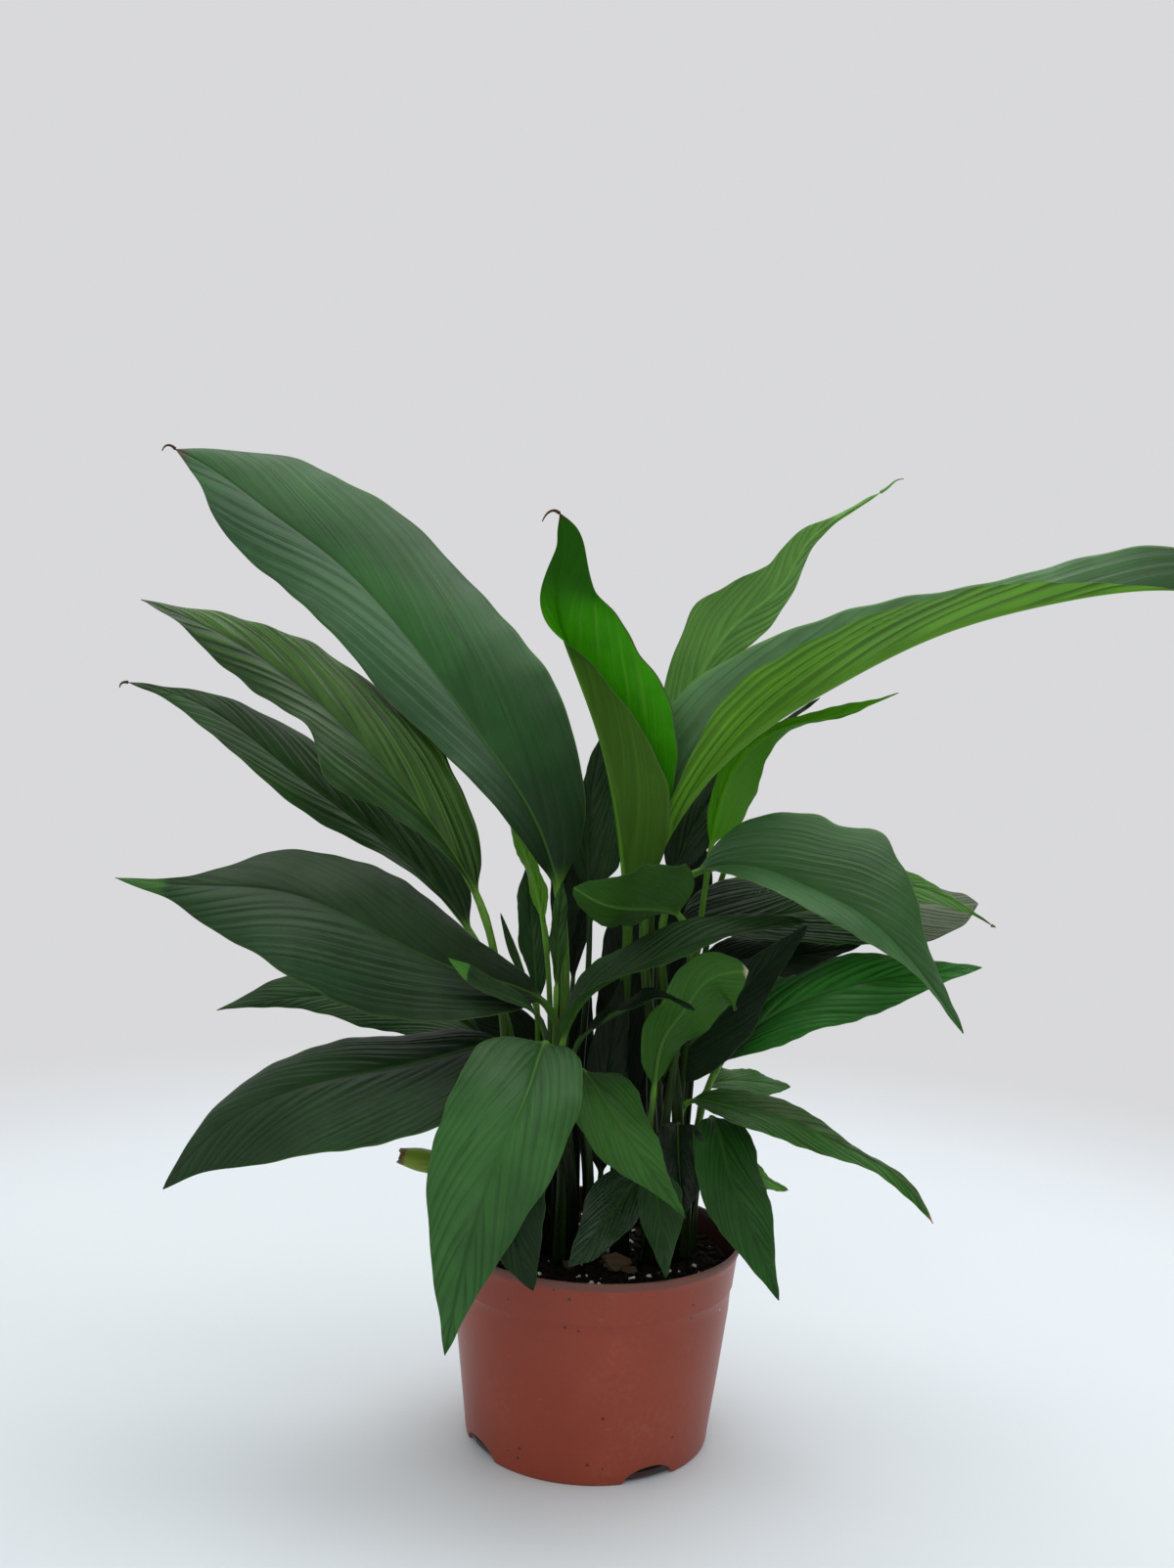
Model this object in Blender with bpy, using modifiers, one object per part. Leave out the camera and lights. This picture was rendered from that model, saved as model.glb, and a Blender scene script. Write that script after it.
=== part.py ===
"""A potted peace lily: a thin plastic nursery pot, its growing mix, and every leaf with its stalk.

Metres, +Z up. The origin is the middle of the pot's underside, and the plant's front faces -Y.
Leaf measures are kept in millimetres and degrees, and are turned into metres as each mesh is made.
"""

import bpy
import bmesh
import numpy as np

MM = 0.001
POT_HEIGHT = 90.0
RIM_RADIUS = 65.0
BASE_RADIUS = 54.0
WALL = 1.0
FLOOR = 1.4
LIP_DEPTH = 4.8
LIP_STAND = 0.7
STEP_HEIGHT = 71.0
STEP_DEPTH = 0.5
NOTCH_WIDTH = 24.0
NOTCH_HEIGHT = 6.0
NOTCH_ANGLES = (-60, -150, 120, 30)
SOIL_TOP = 80.0
SEAT_GAP = 0.3
TURNS = 56
STATIONS = (0, 0.15, 0.3, 0.45, 0.6, 0.75, 0.87, 0.95, 1)
GREEN = (0.035, 0.105, 0.04)
LIME = (0.075, 0.22, 0.02)
TERRACOTTA = (0.29, 0.07, 0.035)
EARTH = (0.018, 0.014, 0.011)
LEAVES = []


def leaf(
    name, stem, rib, face, left, right, fold, curl,
    stalk=1.8, thick=0.8, wave=(1.5, 2.5, 0.0), fine=1, fold_left=None, curl_left=None,
):
    """Keeps one leaf's measures: foot and stalk points, midrib points from blade base to tip, the way
    its upper face looks at base, middle and tip, the half widths left and right of the midrib at
    STATIONS, how far each half folds up and curls, and the ripple of its margin (height, turns, phase).
    """
    LEAVES.append({
        "name": name, "stem": stem, "rib": rib, "face": face, "left": left, "right": right,
        "fold": fold, "curl": curl, "stalk": stalk, "thick": thick, "wave": wave, "fine": fine,
        "fold_left": fold_left or fold, "curl_left": curl_left or curl,
    })


# the left clump, from the tallest leaf down
leaf("leaf_tall_left", [(-14, 6), (-17, 5, 160)],
     [(-21, 0, 238), (-31, 2, 269), (-57, 8, 307), (-95, 20, 353),
      (-130, 31, 387), (-165, 39, 411), (-201, 45, 434), (-210, 43, 438)],
     [(0.5, -0.8, 0.35), (0.3, -0.75, 0.55), (0.3, -0.75, 0.5)],
     (18, 23, 29, 31, 28, 21, 10), (29, 44, 47, 47, 41, 26, 11),
     (28, 14, 6), (-10, -30, -20), stalk=2.3, wave=(2, 2.5, 0.1))
leaf("leaf_left_upper", [(-17, -1), (-30, -4, 165)],
     [(-56, -5, 236), (-79, -8, 272), (-127, -14, 321), (-165, -20, 347), (-204, -25, 363)],
     [(0.6, -0.75, 0.3), (0.35, -0.75, 0.55), (0.1, -0.7, 0.7)],
     (8, 15, 25, 18, 14, 8, 4), (16, 23, 27, 25, 14, 9, 5),
     (35, 20, 5), (-10, -35, -20), stalk=2.0, wave=(3, 2.2, 0.35))
leaf("leaf_left_middle", [(-20, 8), (-33, 8, 160)],
     [(-60, 12, 219), (-99, 15, 258), (-145, 18, 290), (-191, 20, 319), (-222, 20, 326)],
     [(0.5, -0.7, 0.5), (0.3, -0.65, 0.7), (0.1, -0.6, 0.8)],
     (8, 12, 15, 16, 13, 7, 3), (18, 20, 21, 23, 15, 6, 3),
     (30, 18, 5), (-10, -30, -15), wave=(2, 2, 0.2))
leaf("leaf_left_broad", [(-15, -8), (-18, -7, 150)],
     [(-24, -10, 192), (-60, -25, 209), (-98, -45, 229),
      (-134, -60, 245), (-172, -68, 247), (-198, -70, 249)],
     [(0.2, -0.6, 0.75), (0.15, -0.62, 0.75), (0.0, -0.6, 0.8)],
     (24, 36, 42, 42, 28, 10, 4), (12, 28, 34, 31, 13, 4, 1.5),
     (25, 16, 8), (-10, -38, -25), stalk=2.0, wave=(2, 2.3, 0.0))
leaf("leaf_left_behind", [(-27, 5), (-37, 12, 138)],
     [(-52, 15, 170), (-90, 20, 186), (-124, 20, 188), (-175, 10, 181)],
     [(0.1, -0.6, 0.8), (0.0, -0.55, 0.8), (-0.1, -0.5, 0.8)],
     (16, 20, 20, 14, 5, 2, 1), (8, 13, 16, 18, 15, 9, 4),
     (25, 15, 5), (-10, -30, -15), stalk=1.6, wave=(1.5, 2, 0.4))
leaf("leaf_left_lowest", [(-23, -5), (-26, -12, 140)],
     [(-38, -24, 176), (-72, -45, 175), (-116, -70, 169), (-148, -85, 155), (-170, -90, 130)],
     [(0.1, -0.5, 0.85), (-0.1, -0.6, 0.8), (-0.4, -0.7, 0.55)],
     (28, 36, 35, 33, 27, 14, 5), (13, 19, 23, 22, 15, 7, 3),
     (22, 12, 5), (-15, -40, -20), wave=(1.5, 2, 0.1))
leaf("leaf_front_left", [(-15, -16), (-17, -22, 145)],
     [(-24, -38, 182), (-29, -68, 172), (-40, -92, 147), (-50, -107, 114), (-56, -112, 78)],
     [(0.1, -0.4, 0.9), (-0.15, -0.8, 0.55), (-0.1, -0.95, 0.25)],
     (19, 23, 23, 19, 12, 6, 3), (26, 29, 29, 24, 14, 7, 3),
     (22, 14, 8), (-10, -35, -20), wave=(1.5, 2, 0.3))
leaf("leaf_front_under", [(-9, -15), (-12, -24, 125)],
     [(-24, -44, 158), (-32, -66, 142), (-34, -80, 118), (-24, -88, 95)],
     [(0.1, -0.5, 0.9), (0.1, -0.9, 0.4), (0.3, -0.95, 0.2)],
     (8, 12, 13, 14, 12, 8, 4), (8, 11, 12, 11, 9, 6, 3),
     (20, 12, 5), (-10, -30, -20), stalk=1.6)
leaf("leaf_front_center", [(-3, -12), (-5, -18, 140)],
     [(-8, -30, 169), (6, -50, 155), (20, -60, 138), (36, -66, 119)],
     [(0.3, -0.4, 0.9), (0.3, -0.75, 0.6), (0.4, -0.8, 0.4)],
     (14, 16, 14, 11, 7, 4, 2), (14, 18, 17, 12, 7, 3, 1),
     (22, 12, 5), (-10, -30, -20), stalk=1.6)
leaf("leaf_behind_stalks", [(-25, 13), (-28, 18, 140)],
     [(-30, 20, 188), (-34, 24, 222), (-37, 26, 252)],
     [(0.4, -0.8, 0.2), (0.4, -0.85, 0.1), (0.4, -0.85, 0.1)],
     (3, 5, 7, 7, 6, 4, 2), (5, 7, 8, 8, 6, 3, 1),
     (20, 15, 5), (-10, -20, -10), stalk=1.4, fine=0)
leaf("leaf_short_lime", [(-19, 14), (-22, 12, 150)],
     [(-28, 11, 225), (-36, 10, 255), (-51, 6, 284)],
     [(0.5, 0.8, 0.3), (0.5, 0.8, 0.3), (0.5, 0.8, 0.3)],
     (3, 5, 5, 5, 4, 2, 1), (3, 5, 5, 4, 3, 2, 1),
     (20, 15, 5), (-10, -20, -10), stalk=1.4, fine=0)
leaf("leaf_upright_dark", [(-9, 12), (-9, 16, 150)],
     [(-8, 19, 240), (-10, 21, 273), (-5, 24, 306), (1, 25, 340)],
     [(0.2, -0.9, -0.1), (0.2, -0.9, 0), (0.2, -0.9, 0)],
     (7, 10, 8, 6, 4, 3, 1), (10, 12, 12, 12, 9, 6, 3),
     (25, 15, 5), (-10, -20, -10), stalk=1.5, fine=0)
leaf("leaf_arching_dark", [(-9, -6), (-12, -14, 130)],
     [(-17, -16, 178), (-7, -26, 201), (13, -38, 216), (40, -46, 230), (82, -50, 240)],
     [(-0.5, -0.2, 0.85), (-0.3, -0.35, 0.85), (0, -0.35, 0.9)],
     (10, 14, 16, 13, 12, 10, 5), (12, 20, 18, 14, 8, 5, 3),
     (30, 25, 10), (0, -10, -10), stalk=1.6)
leaf("leaf_narrow_hook", [(-3, -5), (-8, -14, 140)],
     [(-9, -32, 184), (9, -42, 199), (25, -51, 206), (37, -55, 202)],
     [(-0.3, -0.3, 0.9), (0, -0.3, 0.9), (0.3, -0.3, 0.9)],
     (3, 6, 8, 7, 5, 3, 2), (3, 6, 8, 7, 5, 3, 2),
     (25, 20, 10), (0, -10, -10), stalk=1.3, fine=0)
leaf("leaf_sheath_tip", [(-13, 18), (-18, 18, 140)],
     [(-34, 16, 196), (-41, 15, 212), (-48, 14, 230)],
     [(-0.6, -0.7, 0.2), (-0.6, -0.7, 0.2), (-0.6, -0.7, 0.2)],
     (1.5, 2, 2.5, 2.5, 2, 1.5, 1), (1.5, 2, 2.5, 2.5, 2, 1.5, 1),
     (20, 14, 5), (0, 0, 0), stalk=1.2, fine=0)
leaf("leaf_narrow_upright", [(-21, 3), (-21, 0, 150)],
     [(-21, -4, 200), (-21, -7, 224), (-20, -9, 249)],
     [(0.3, -0.9, 0.2), (0.3, -0.9, 0.2), (0.3, -0.9, 0.2)],
     (2, 3, 4, 4, 3, 2, 1), (2, 3, 4, 4, 3, 2, 1),
     (20, 14, 5), (-10, -20, -10), stalk=1.3, fine=0)
leaf("leaf_core_front", [(1, -9), (2, -9, 100)],
     [(2, -9, 117), (2, -9, 150), (4, -9, 180), (8, -9, 206)],
     [(0.1, -0.95, 0.1), (0.1, -0.95, 0.1), (0.1, -0.95, 0.1)],
     (6, 9, 10, 9, 7, 4, 2), (6, 9, 10, 9, 7, 4, 2),
     (20, 15, 8), (-10, -25, -15), stalk=1.5, fine=0)
leaf("leaf_core_back", [(8, 14), (10, 16, 110)],
     [(11, 18, 136), (10, 19, 165), (9, 20, 202), (10, 21, 244)],
     [(0.0, -0.95, 0.1), (0.0, -0.95, 0.1), (0.0, -0.95, 0.1)],
     (8, 12, 12, 11, 10, 7, 4), (8, 12, 12, 11, 10, 7, 4),
     (20, 15, 8), (-10, -25, -15), stalk=1.6, fine=0)
leaf("leaf_core_left", [(-13, 26), (-12, 28, 120)],
     [(-11, 28, 146), (-11, 28, 172), (-6, 28, 198)],
     [(0.0, -0.95, 0.1), (0.0, -0.95, 0.1), (0.0, -0.95, 0.1)],
     (6, 8, 8, 7, 5, 3, 1.5), (6, 8, 8, 7, 5, 3, 1.5),
     (20, 15, 8), (-10, -25, -15), stalk=1.4, fine=0)
leaf("leaf_core_tall", [(-22, 26), (-22, 28, 150)],
     [(-19, 28, 209), (-19, 28, 238), (-19, 28, 270)],
     [(0.0, -0.95, 0.1), (0.0, -0.95, 0.1), (0.0, -0.95, 0.1)],
     (4, 6, 7, 7, 6, 4, 2), (4, 6, 7, 7, 6, 4, 2),
     (20, 15, 8), (-10, -25, -15), stalk=1.4, fine=0)
leaf("leaf_right_shadow", [(33, 28), (37, 25, 160)],
     [(42, 26, 200), (62, 26, 211), (91, 24, 215), (118, 21, 221)],
     [(0.0, -0.6, 0.8), (0.0, -0.6, 0.8), (0.0, -0.6, 0.8)],
     (9, 13, 14, 13, 9, 5, 2), (9, 13, 14, 12, 8, 4, 2),
     (20, 15, 8), (-10, -25, -15), stalk=1.4, fine=0)
leaf("leaf_small_bract", [(-25, -11), (-24, -20, 145)],
     [(-26, -24, 188), (-42, -36, 199), (-56, -44, 210)],
     [(0, -0.6, 0.8), (0, -0.6, 0.8), (0, -0.6, 0.8)],
     (2, 3, 4, 4, 3, 2, 1), (2, 3, 4, 4, 3, 2, 1),
     (20, 14, 5), (0, 0, 0), stalk=1.2, fine=0)
# the right clump
leaf("leaf_rolled_young", [(12, -4), (9, -4, 170)],
     [(9, -8, 238), (0, -11, 280), (-12, -13, 320),
      (-23, -17, 349), (-27, -21, 376), (-24, -25, 394), (-27, -29, 406)],
     [(-0.1, -0.95, 0.1), (-0.2, -0.95, 0.1), (-0.2, -0.95, 0.1)],
     (22, 31, 28, 18, 10, 6, 4), (17, 28, 35, 33, 27, 16, 8),
     (8, 6, 6, 6, 10, 15), (10, 10, 5, 5, 5, 10), stalk=2.6,
     fold_left=(152, 150, 142, 130, 40, 20), curl_left=(5, 5, 5, 5, 5, 10))
leaf("leaf_long_right", [(29, 3), (24, 2, 170)],
     [(20, -4, 256), (32, -10, 282), (56, -18, 312), (91, -30, 338),
      (132, -42, 361), (181, -54, 376), (221, -62, 381), (258, -66, 376)],
     [(-0.7, -0.3, 0.6), (-0.4, -0.3, 0.85), (-0.1, -0.2, 0.95)],
     (34, 36, 26, 15, 15, 23, 14), (18, 34, 36, 25, 12, 4, 2),
     (60, 58, 50), (0, -10, -10), stalk=2.2, wave=(2, 2.5, 0.2), fold_left=(60, 56, 50))
leaf("leaf_back_upper", [(29, 17), (22, 29, 200)],
     [(27, 34, 300), (38, 34, 338), (55, 36, 366),
      (78, 42, 388), (87, 44, 405), (104, 47, 420), (122, 50, 432)],
     [(-0.2, 0.9, 0.4), (-0.3, 0.9, 0.4), (-0.3, 0.9, 0.4)],
     (10, 13, 13, 10, 6, 3, 2), (12, 17, 18, 15, 8, 3, 2),
     (25, 15, 20), (-10, -20, 0), stalk=1.6, wave=(2, 2, 0.2))
leaf("leaf_backlit", [(34, 6), (38, 7, 170)],
     [(46, 10, 263), (52, 12, 293), (64, 14, 311), (78, 12, 320), (97, 8, 325), (126, 4, 337)],
     [(-0.4, 0.85, 0.2), (-0.4, 0.8, 0.3), (-0.2, 0.3, 0.9)],
     (22, 26, 13, 5, 2.5, 2, 1.5), (5, 6, 4, 4, 4, 3, 2),
     (20, 20, 20), (0, 0, 0), stalk=1.5, fine=0)
leaf("leaf_striped_back", [(24, 11), (27, 13, 170)],
     [(29, 19, 245), (43, 30, 278), (66, 39, 309), (97, 42, 334)],
     [(-0.3, -0.8, 0.5), (-0.4, -0.7, 0.5), (-0.4, -0.6, 0.6)],
     (9, 11, 10, 7, 4, 2, 1), (12, 14, 13, 9, 5, 2, 1),
     (25, 15, 5), (0, -20, -10), stalk=1.5, fine=0)
leaf("leaf_right_broad", [(34, -2), (33, -3, 165)],
     [(36, -10, 253), (60, -22, 259), (83, -36, 253), (104, -48, 244), (129, -60, 221), (145, -66, 199)],
     [(-0.1, -0.4, 0.9), (0.1, -0.6, 0.8), (0.5, -0.6, 0.6)],
     (32, 41, 38, 25, 13, 7, 3), (22, 28, 30, 24, 12, 4, 2),
     (30, 30, 15), (-5, -10, -10), stalk=2.0, fold_left=(20, 18, 8), curl_left=(-10, -15, -10))
leaf("leaf_left_turn", [(30, -7), (32, -8, 165)],
     [(31, -13, 236), (14, -30, 240), (-3, -42, 243), (-15, -48, 250)],
     [(0.1, 0.8, 0.6), (0.1, 0.85, 0.5), (0.1, 0.8, 0.6)],
     (20, 26, 26, 24, 22, 16, 9), (14, 16, 14, 12, 10, 7, 4),
     (15, 10, 5), (0, -10, -10), stalk=1.6)
leaf("leaf_folded_dark", [(37, 13), (35, 14, 120)],
     [(28, 15, 152), (47, 13, 180), (70, 11, 207), (91, 8, 231)],
     [(-0.3, -0.85, 0.3), (-0.3, -0.85, 0.3), (-0.3, -0.85, 0.3)],
     (8, 12, 12, 10, 7, 4, 2), (14, 18, 18, 12, 8, 5, 3),
     (15, 12, 8), (0, -10, -10), stalk=1.6)
leaf("leaf_curled_under", [(24, -10), (22, -8, 120)],
     [(24, -10, 158), (27, -18, 183), (35, -28, 198), (44, -36, 212), (60, -40, 217)],
     [(-0.3, 0.9, 0.1), (-0.3, 0.9, 0.2), (-0.2, 0.85, 0.3)],
     (2, 5, 9, 15, 18, 17, 10), (3, 6, 9, 12, 14, 13, 9),
     (15, 10, 0), (0, -20, -20), stalk=1.5)
leaf("leaf_right_green", [(39, 6), (45, 12, 130)],
     [(54, 15, 163), (74, 14, 185), (108, 8, 203), (141, 0, 212), (167, -6, 217)],
     [(-0.3, -0.6, 0.75), (-0.2, -0.65, 0.75), (0, -0.6, 0.8)],
     (12, 17, 20, 17, 12, 7, 3), (14, 20, 20, 18, 14, 7, 3),
     (25, 15, 5), (-5, -30, -15), stalk=1.8)
leaf("leaf_striped_grey", [(31, 11), (29, 21, 160)],
     [(32, 22, 225), (73, 35, 230), (112, 32, 238), (147, 20, 241), (169, 14, 243)],
     [(0, -0.6, 0.8), (0, -0.6, 0.8), (0, -0.5, 0.8)],
     (18, 25, 26, 22, 20, 14, 9), (14, 18, 22, 25, 28, 25, 17),
     (22, 12, 5), (-5, -25, -15), stalk=1.6)
leaf("leaf_green_tip", [(38, 20), (44, 34, 170), (51, 52, 224), (61, 45, 261)],
     [(75, 20, 265), (93, 7, 259), (113, 2, 254), (145, -2, 249), (170, -6, 236)],
     [(0, -0.6, 0.8), (0, -0.6, 0.8), (0.1, -0.6, 0.8)],
     (8, 12, 12, 8, 5, 3, 1.5), (8, 12, 12, 10, 8, 5, 2),
     (20, 12, 5), (-5, -20, -10), stalk=1.5)
leaf("leaf_right_low", [(39, 0), (39, 0, 125)],
     [(39, 1, 149), (55, -10, 152), (79, -25, 151), (105, -38, 143), (124, -44, 134), (141, -48, 115)],
     [(0, -0.4, 0.9), (0.1, -0.5, 0.85), (0.4, -0.5, 0.75)],
     (8, 13, 9, 5, 4, 3, 2), (13, 20, 14, 12, 7, 4, 2),
     (30, 22, 10), (-5, -25, -15), stalk=1.5, wave=(1.5, 2.5, 0.3))
leaf("leaf_right_small", [(44, 15), (47, 24, 125)],
     [(51, 30, 149), (71, 40, 151), (92, 45, 148)],
     [(0, -0.5, 0.85), (0, -0.5, 0.85), (0.2, -0.5, 0.85)],
     (5, 8, 9, 7, 6, 4, 2), (8, 11, 11, 9, 8, 5, 2),
     (15, 10, 5), (-5, -15, -10), stalk=1.3, fine=0)
leaf("leaf_soil_shiny", [(22, -14), (25, -15, 105)],
     [(22, -19, 122), (8, -32, 111), (-3, -42, 99), (-11, -47, 90)],
     [(0.2, -0.5, 0.85), (0.0, -0.7, 0.7), (-0.3, -0.7, 0.6)],
     (7, 11, 11, 10, 8, 6, 3), (10, 13, 13, 10, 6, 4, 2),
     (20, 15, 5), (-5, -30, -15), stalk=1.4, fine=0)
leaf("leaf_pointing_down", [(29, -14), (28, -24, 112)],
     [(24, -32, 128), (27, -50, 111), (29, -63, 93)],
     [(0.2, -0.6, 0.8), (0.2, -0.8, 0.5), (0.2, -0.9, 0.3)],
     (8, 11, 11, 8, 5, 3, 2), (6, 9, 9, 7, 5, 3, 1),
     (20, 15, 5), (-5, -30, -15), stalk=1.3, fine=0)
leaf("leaf_heart_dark", [(36, -8), (36, -7, 120)],
     [(35, -12, 143), (35, -26, 132), (36, -33, 122), (38, -37, 112)],
     [(0, -0.5, 0.85), (0, -0.8, 0.6), (0, -0.9, 0.4)],
     (10, 10, 9, 8, 6, 4, 2), (12, 12, 11, 9, 6, 3, 1),
     (25, 15, 5), (-5, -30, -15), stalk=1.3, fine=0)
leaf("leaf_front_right", [(41, -5), (43, -5, 120)],
     [(50, -7, 145), (55, -32, 132), (64, -52, 112), (76, -62, 85)],
     [(0.1, -0.6, 0.8), (0.1, -0.8, 0.6), (0.2, -0.9, 0.35)],
     (12, 14, 14, 12, 8, 4, 2), (12, 14, 15, 13, 9, 5, 2),
     (22, 14, 5), (-5, -30, -15), stalk=1.6)
leaf("leaf_right_peek", [(45, 3), (46, 4, 108)],
     [(52, 5, 127), (71, 12, 117), (89, 16, 107)],
     [(0.3, -0.5, 0.85), (0.3, -0.6, 0.8), (0.3, -0.6, 0.8)],
     (4, 5, 5, 4, 3, 2, 1), (7, 9, 9, 8, 6, 4, 2),
     (20, 14, 5), (-5, -20, -10), stalk=1.2, fine=0)
# a stalk cut off short in the left clump
CUT_STALK_RADIUS = 4.0
CUT_STALK = [(-33, -4, 80.4), (-35, -6, 96), (-50, -14, 114), (-84, -22, 124)]


def unit(v):
    return v / np.maximum(np.linalg.norm(v, axis=-1, keepdims=True), 1e-12)


def ease(x, y, q):
    """Smooth curve through the stations x, y that never overshoots them."""
    x, y = np.asarray(x, float), np.asarray(y, float)
    step = np.diff(x)
    rise = np.diff(y) / step
    slope = np.zeros(len(x))
    slope[0], slope[-1] = rise[0], rise[-1]
    for i in range(1, len(x) - 1):
        if rise[i - 1] * rise[i] > 0:
            w1, w2 = 2 * step[i] + step[i - 1], step[i] + 2 * step[i - 1]
            slope[i] = (w1 + w2) / (w1 / rise[i - 1] + w2 / rise[i])
    i = np.clip(np.searchsorted(x, q, side="right") - 1, 0, len(x) - 2)
    t = (q - x[i]) / step[i]
    ends = (2 * t**3 - 3 * t**2 + 1) * y[i] + (3 * t**2 - 2 * t**3) * y[i + 1]
    return ends + ((t**3 - 2 * t**2 + t) * slope[i] + (t**3 - t**2) * slope[i + 1]) * step[i]


def spread(values, q):
    """Values given at equal steps from 0 to 1, read at q."""
    values = np.asarray(values, float)
    x = np.linspace(0, 1, len(values))
    if values.ndim == 1:
        return ease(x, values, q)
    return np.stack([ease(x, column, q) for column in values.T], -1)


def spline(points, count=300):
    """A natural cubic curve through the points, and the length along it."""
    p = np.asarray(points, float)
    k = len(p)
    h = np.linalg.norm(np.diff(p, axis=0), axis=1)
    t = np.concatenate([[0], np.cumsum(h)])
    a, r = np.eye(k), np.zeros((k, 3))
    for i in range(1, k - 1):
        a[i, i - 1:i + 2] = h[i - 1], 2 * (h[i - 1] + h[i]), h[i]
        r[i] = 6 * ((p[i + 1] - p[i]) / h[i] - (p[i] - p[i - 1]) / h[i - 1])
    m = np.linalg.solve(a, r)
    q = np.linspace(0, t[-1], count)
    i = np.clip(np.searchsorted(t, q, side="right") - 1, 0, k - 2)
    u, v, w = (t[i + 1] - q)[:, None], (q - t[i])[:, None], h[i][:, None]
    line = (m[i] * u**3 + m[i + 1] * v**3) / (6 * w)
    line += (p[i] / w - m[i] * w / 6) * u + (p[i + 1] / w - m[i + 1] * w / 6) * v
    length = np.concatenate([[0], np.cumsum(np.linalg.norm(np.diff(line, axis=0), axis=1))])
    return line, length


def along(line, length, s):
    return np.stack([np.interp(s, length, line[:, i]) for i in range(3)], -1)


def centre_line(item):
    """Foot, stalk and midrib as one curve, and where on it the blade begins."""
    foot = (*item["stem"][0], SOIL_TOP + SEAT_GAP)
    points = [foot, *item["stem"][1:], *item["rib"]]
    line, length = spline(points)
    knee = np.asarray(item["rib"][0], float)
    start = length[np.argmin(np.linalg.norm(line - knee, axis=1))]
    return line, length, start


def half_width(item, side, v):
    given = item["left"] if side < 0 else item["right"]
    return ease(STATIONS, (0, *given, 0), v)


def blade_sheet(item, v, across):
    """Points of the blade's middle surface at the shares v along it, from its left margin to its right."""
    line, length, start = centre_line(item)
    centre = along(line, length, start + (length[-1] - start) * v)
    step = 0.004
    ahead = along(line, length, start + (length[-1] - start) * np.clip(v + step, 0, 1))
    behind = along(line, length, start + (length[-1] - start) * np.clip(v - step, 0, 1))
    forward = unit(ahead - behind)
    right = unit(np.cross(forward, unit(spread(item["face"], v))))
    up = np.cross(right, forward)
    height, turns, phase = item["wave"]
    sheet = np.zeros((len(v), 2 * across + 1, 3))
    for side in (-1, 1):
        fold = item["fold_left"] if side < 0 else item["fold"]
        curl = item["curl_left"] if side < 0 else item["curl"]
        s = np.linspace(0, 1, across + 1)
        angle = np.radians(spread(fold, v)[:, None] + spread(curl, v)[:, None] * (s[1:] + s[:-1]) / 2)
        part = half_width(item, side, v)[:, None] / across
        x = np.concatenate([np.zeros((len(v), 1)), np.cumsum(np.cos(angle) * part, axis=1)], axis=1)
        z = np.concatenate([np.zeros((len(v), 1)), np.cumsum(np.sin(angle) * part, axis=1)], axis=1)
        ripple = height * np.sin(2 * np.pi * (turns * v + phase + 0.27 * side)) * np.sqrt(np.sin(np.pi * v).clip(0))
        z += ripple[:, None] * s**2
        rows = centre[:, None] + side * x[..., None] * right[:, None] + z[..., None] * up[:, None]
        if side > 0:
            sheet[:, across:] = rows
        else:
            sheet[:, :across + 1] = rows[:, ::-1]
    return sheet, up


def sheet_normals(sheet):
    du, dv = np.gradient(sheet, axis=1), np.gradient(sheet, axis=0)
    return unit(np.cross(du, dv))


def leaf_skin(item, stalk_rings, blade_rings, across):
    """Rings of one closed skin: round along the stalk, flat along the blade, with a blunt point."""
    line, length, start = centre_line(item)
    count = 4 * across + 2
    s = np.linspace(0, start, stalk_rings + 1)[:-1]
    centre = along(line, length, s)
    forward = unit(along(line, length, s + 1) - centre)
    forward[0] = (0, 0, 1)
    toward = unit(np.asarray(item["face"][0], float))
    right = unit(np.cross(forward, toward))
    up = np.cross(right, forward)
    radius = item["stalk"] * (1.25 - 0.45 * s / start)
    turn = np.pi - 2 * np.pi * (np.arange(count) + 0.5) / count
    ring = np.cos(turn)[None, :, None] * right[:, None] + np.sin(turn)[None, :, None] * up[:, None]
    ring[0, :, 2] = 0
    stalk = centre[:, None] + radius[:, None, None] * ring
    v = np.linspace(0.05, 0.985, blade_rings)
    sheet, _ = blade_sheet(item, v, across)
    normal = sheet_normals(sheet)
    rib = 1 - np.abs(np.linspace(-1, 1, 2 * across + 1))
    near = np.clip((0.3 - v) / 0.3, 0, 1)
    half = item["thick"] / 2 * (0.6 + 0.9 * rib[None] + 1.6 * (rib**2)[None] * near[:, None])
    top, under = sheet + normal * half[..., None], sheet - normal * half[..., None]
    blade = np.concatenate([top, under[:, ::-1]], axis=1)
    return stalk, blade


def clear_scene():
    for item in list(bpy.data.objects):
        bpy.data.objects.remove(item, do_unlink=True)


def new_collection(name, hidden=False):
    group = bpy.data.collections.new(name)
    group.hide_render = hidden
    bpy.context.scene.collection.children.link(group)
    return group


def new_material(name, colour, roughness):
    material = bpy.data.materials.new(name)
    material.use_nodes = True
    shader = material.node_tree.nodes["Principled BSDF"]
    shader.inputs["Base Color"].default_value = (*colour, 1)
    shader.inputs["Roughness"].default_value = roughness
    shader.inputs["Metallic"].default_value = 0
    return material


def add_object(name, mesh, group, material=None):
    item = bpy.data.objects.new(name, mesh)
    group.objects.link(item)
    if material:
        mesh.materials.append(material)
    return item


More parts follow.
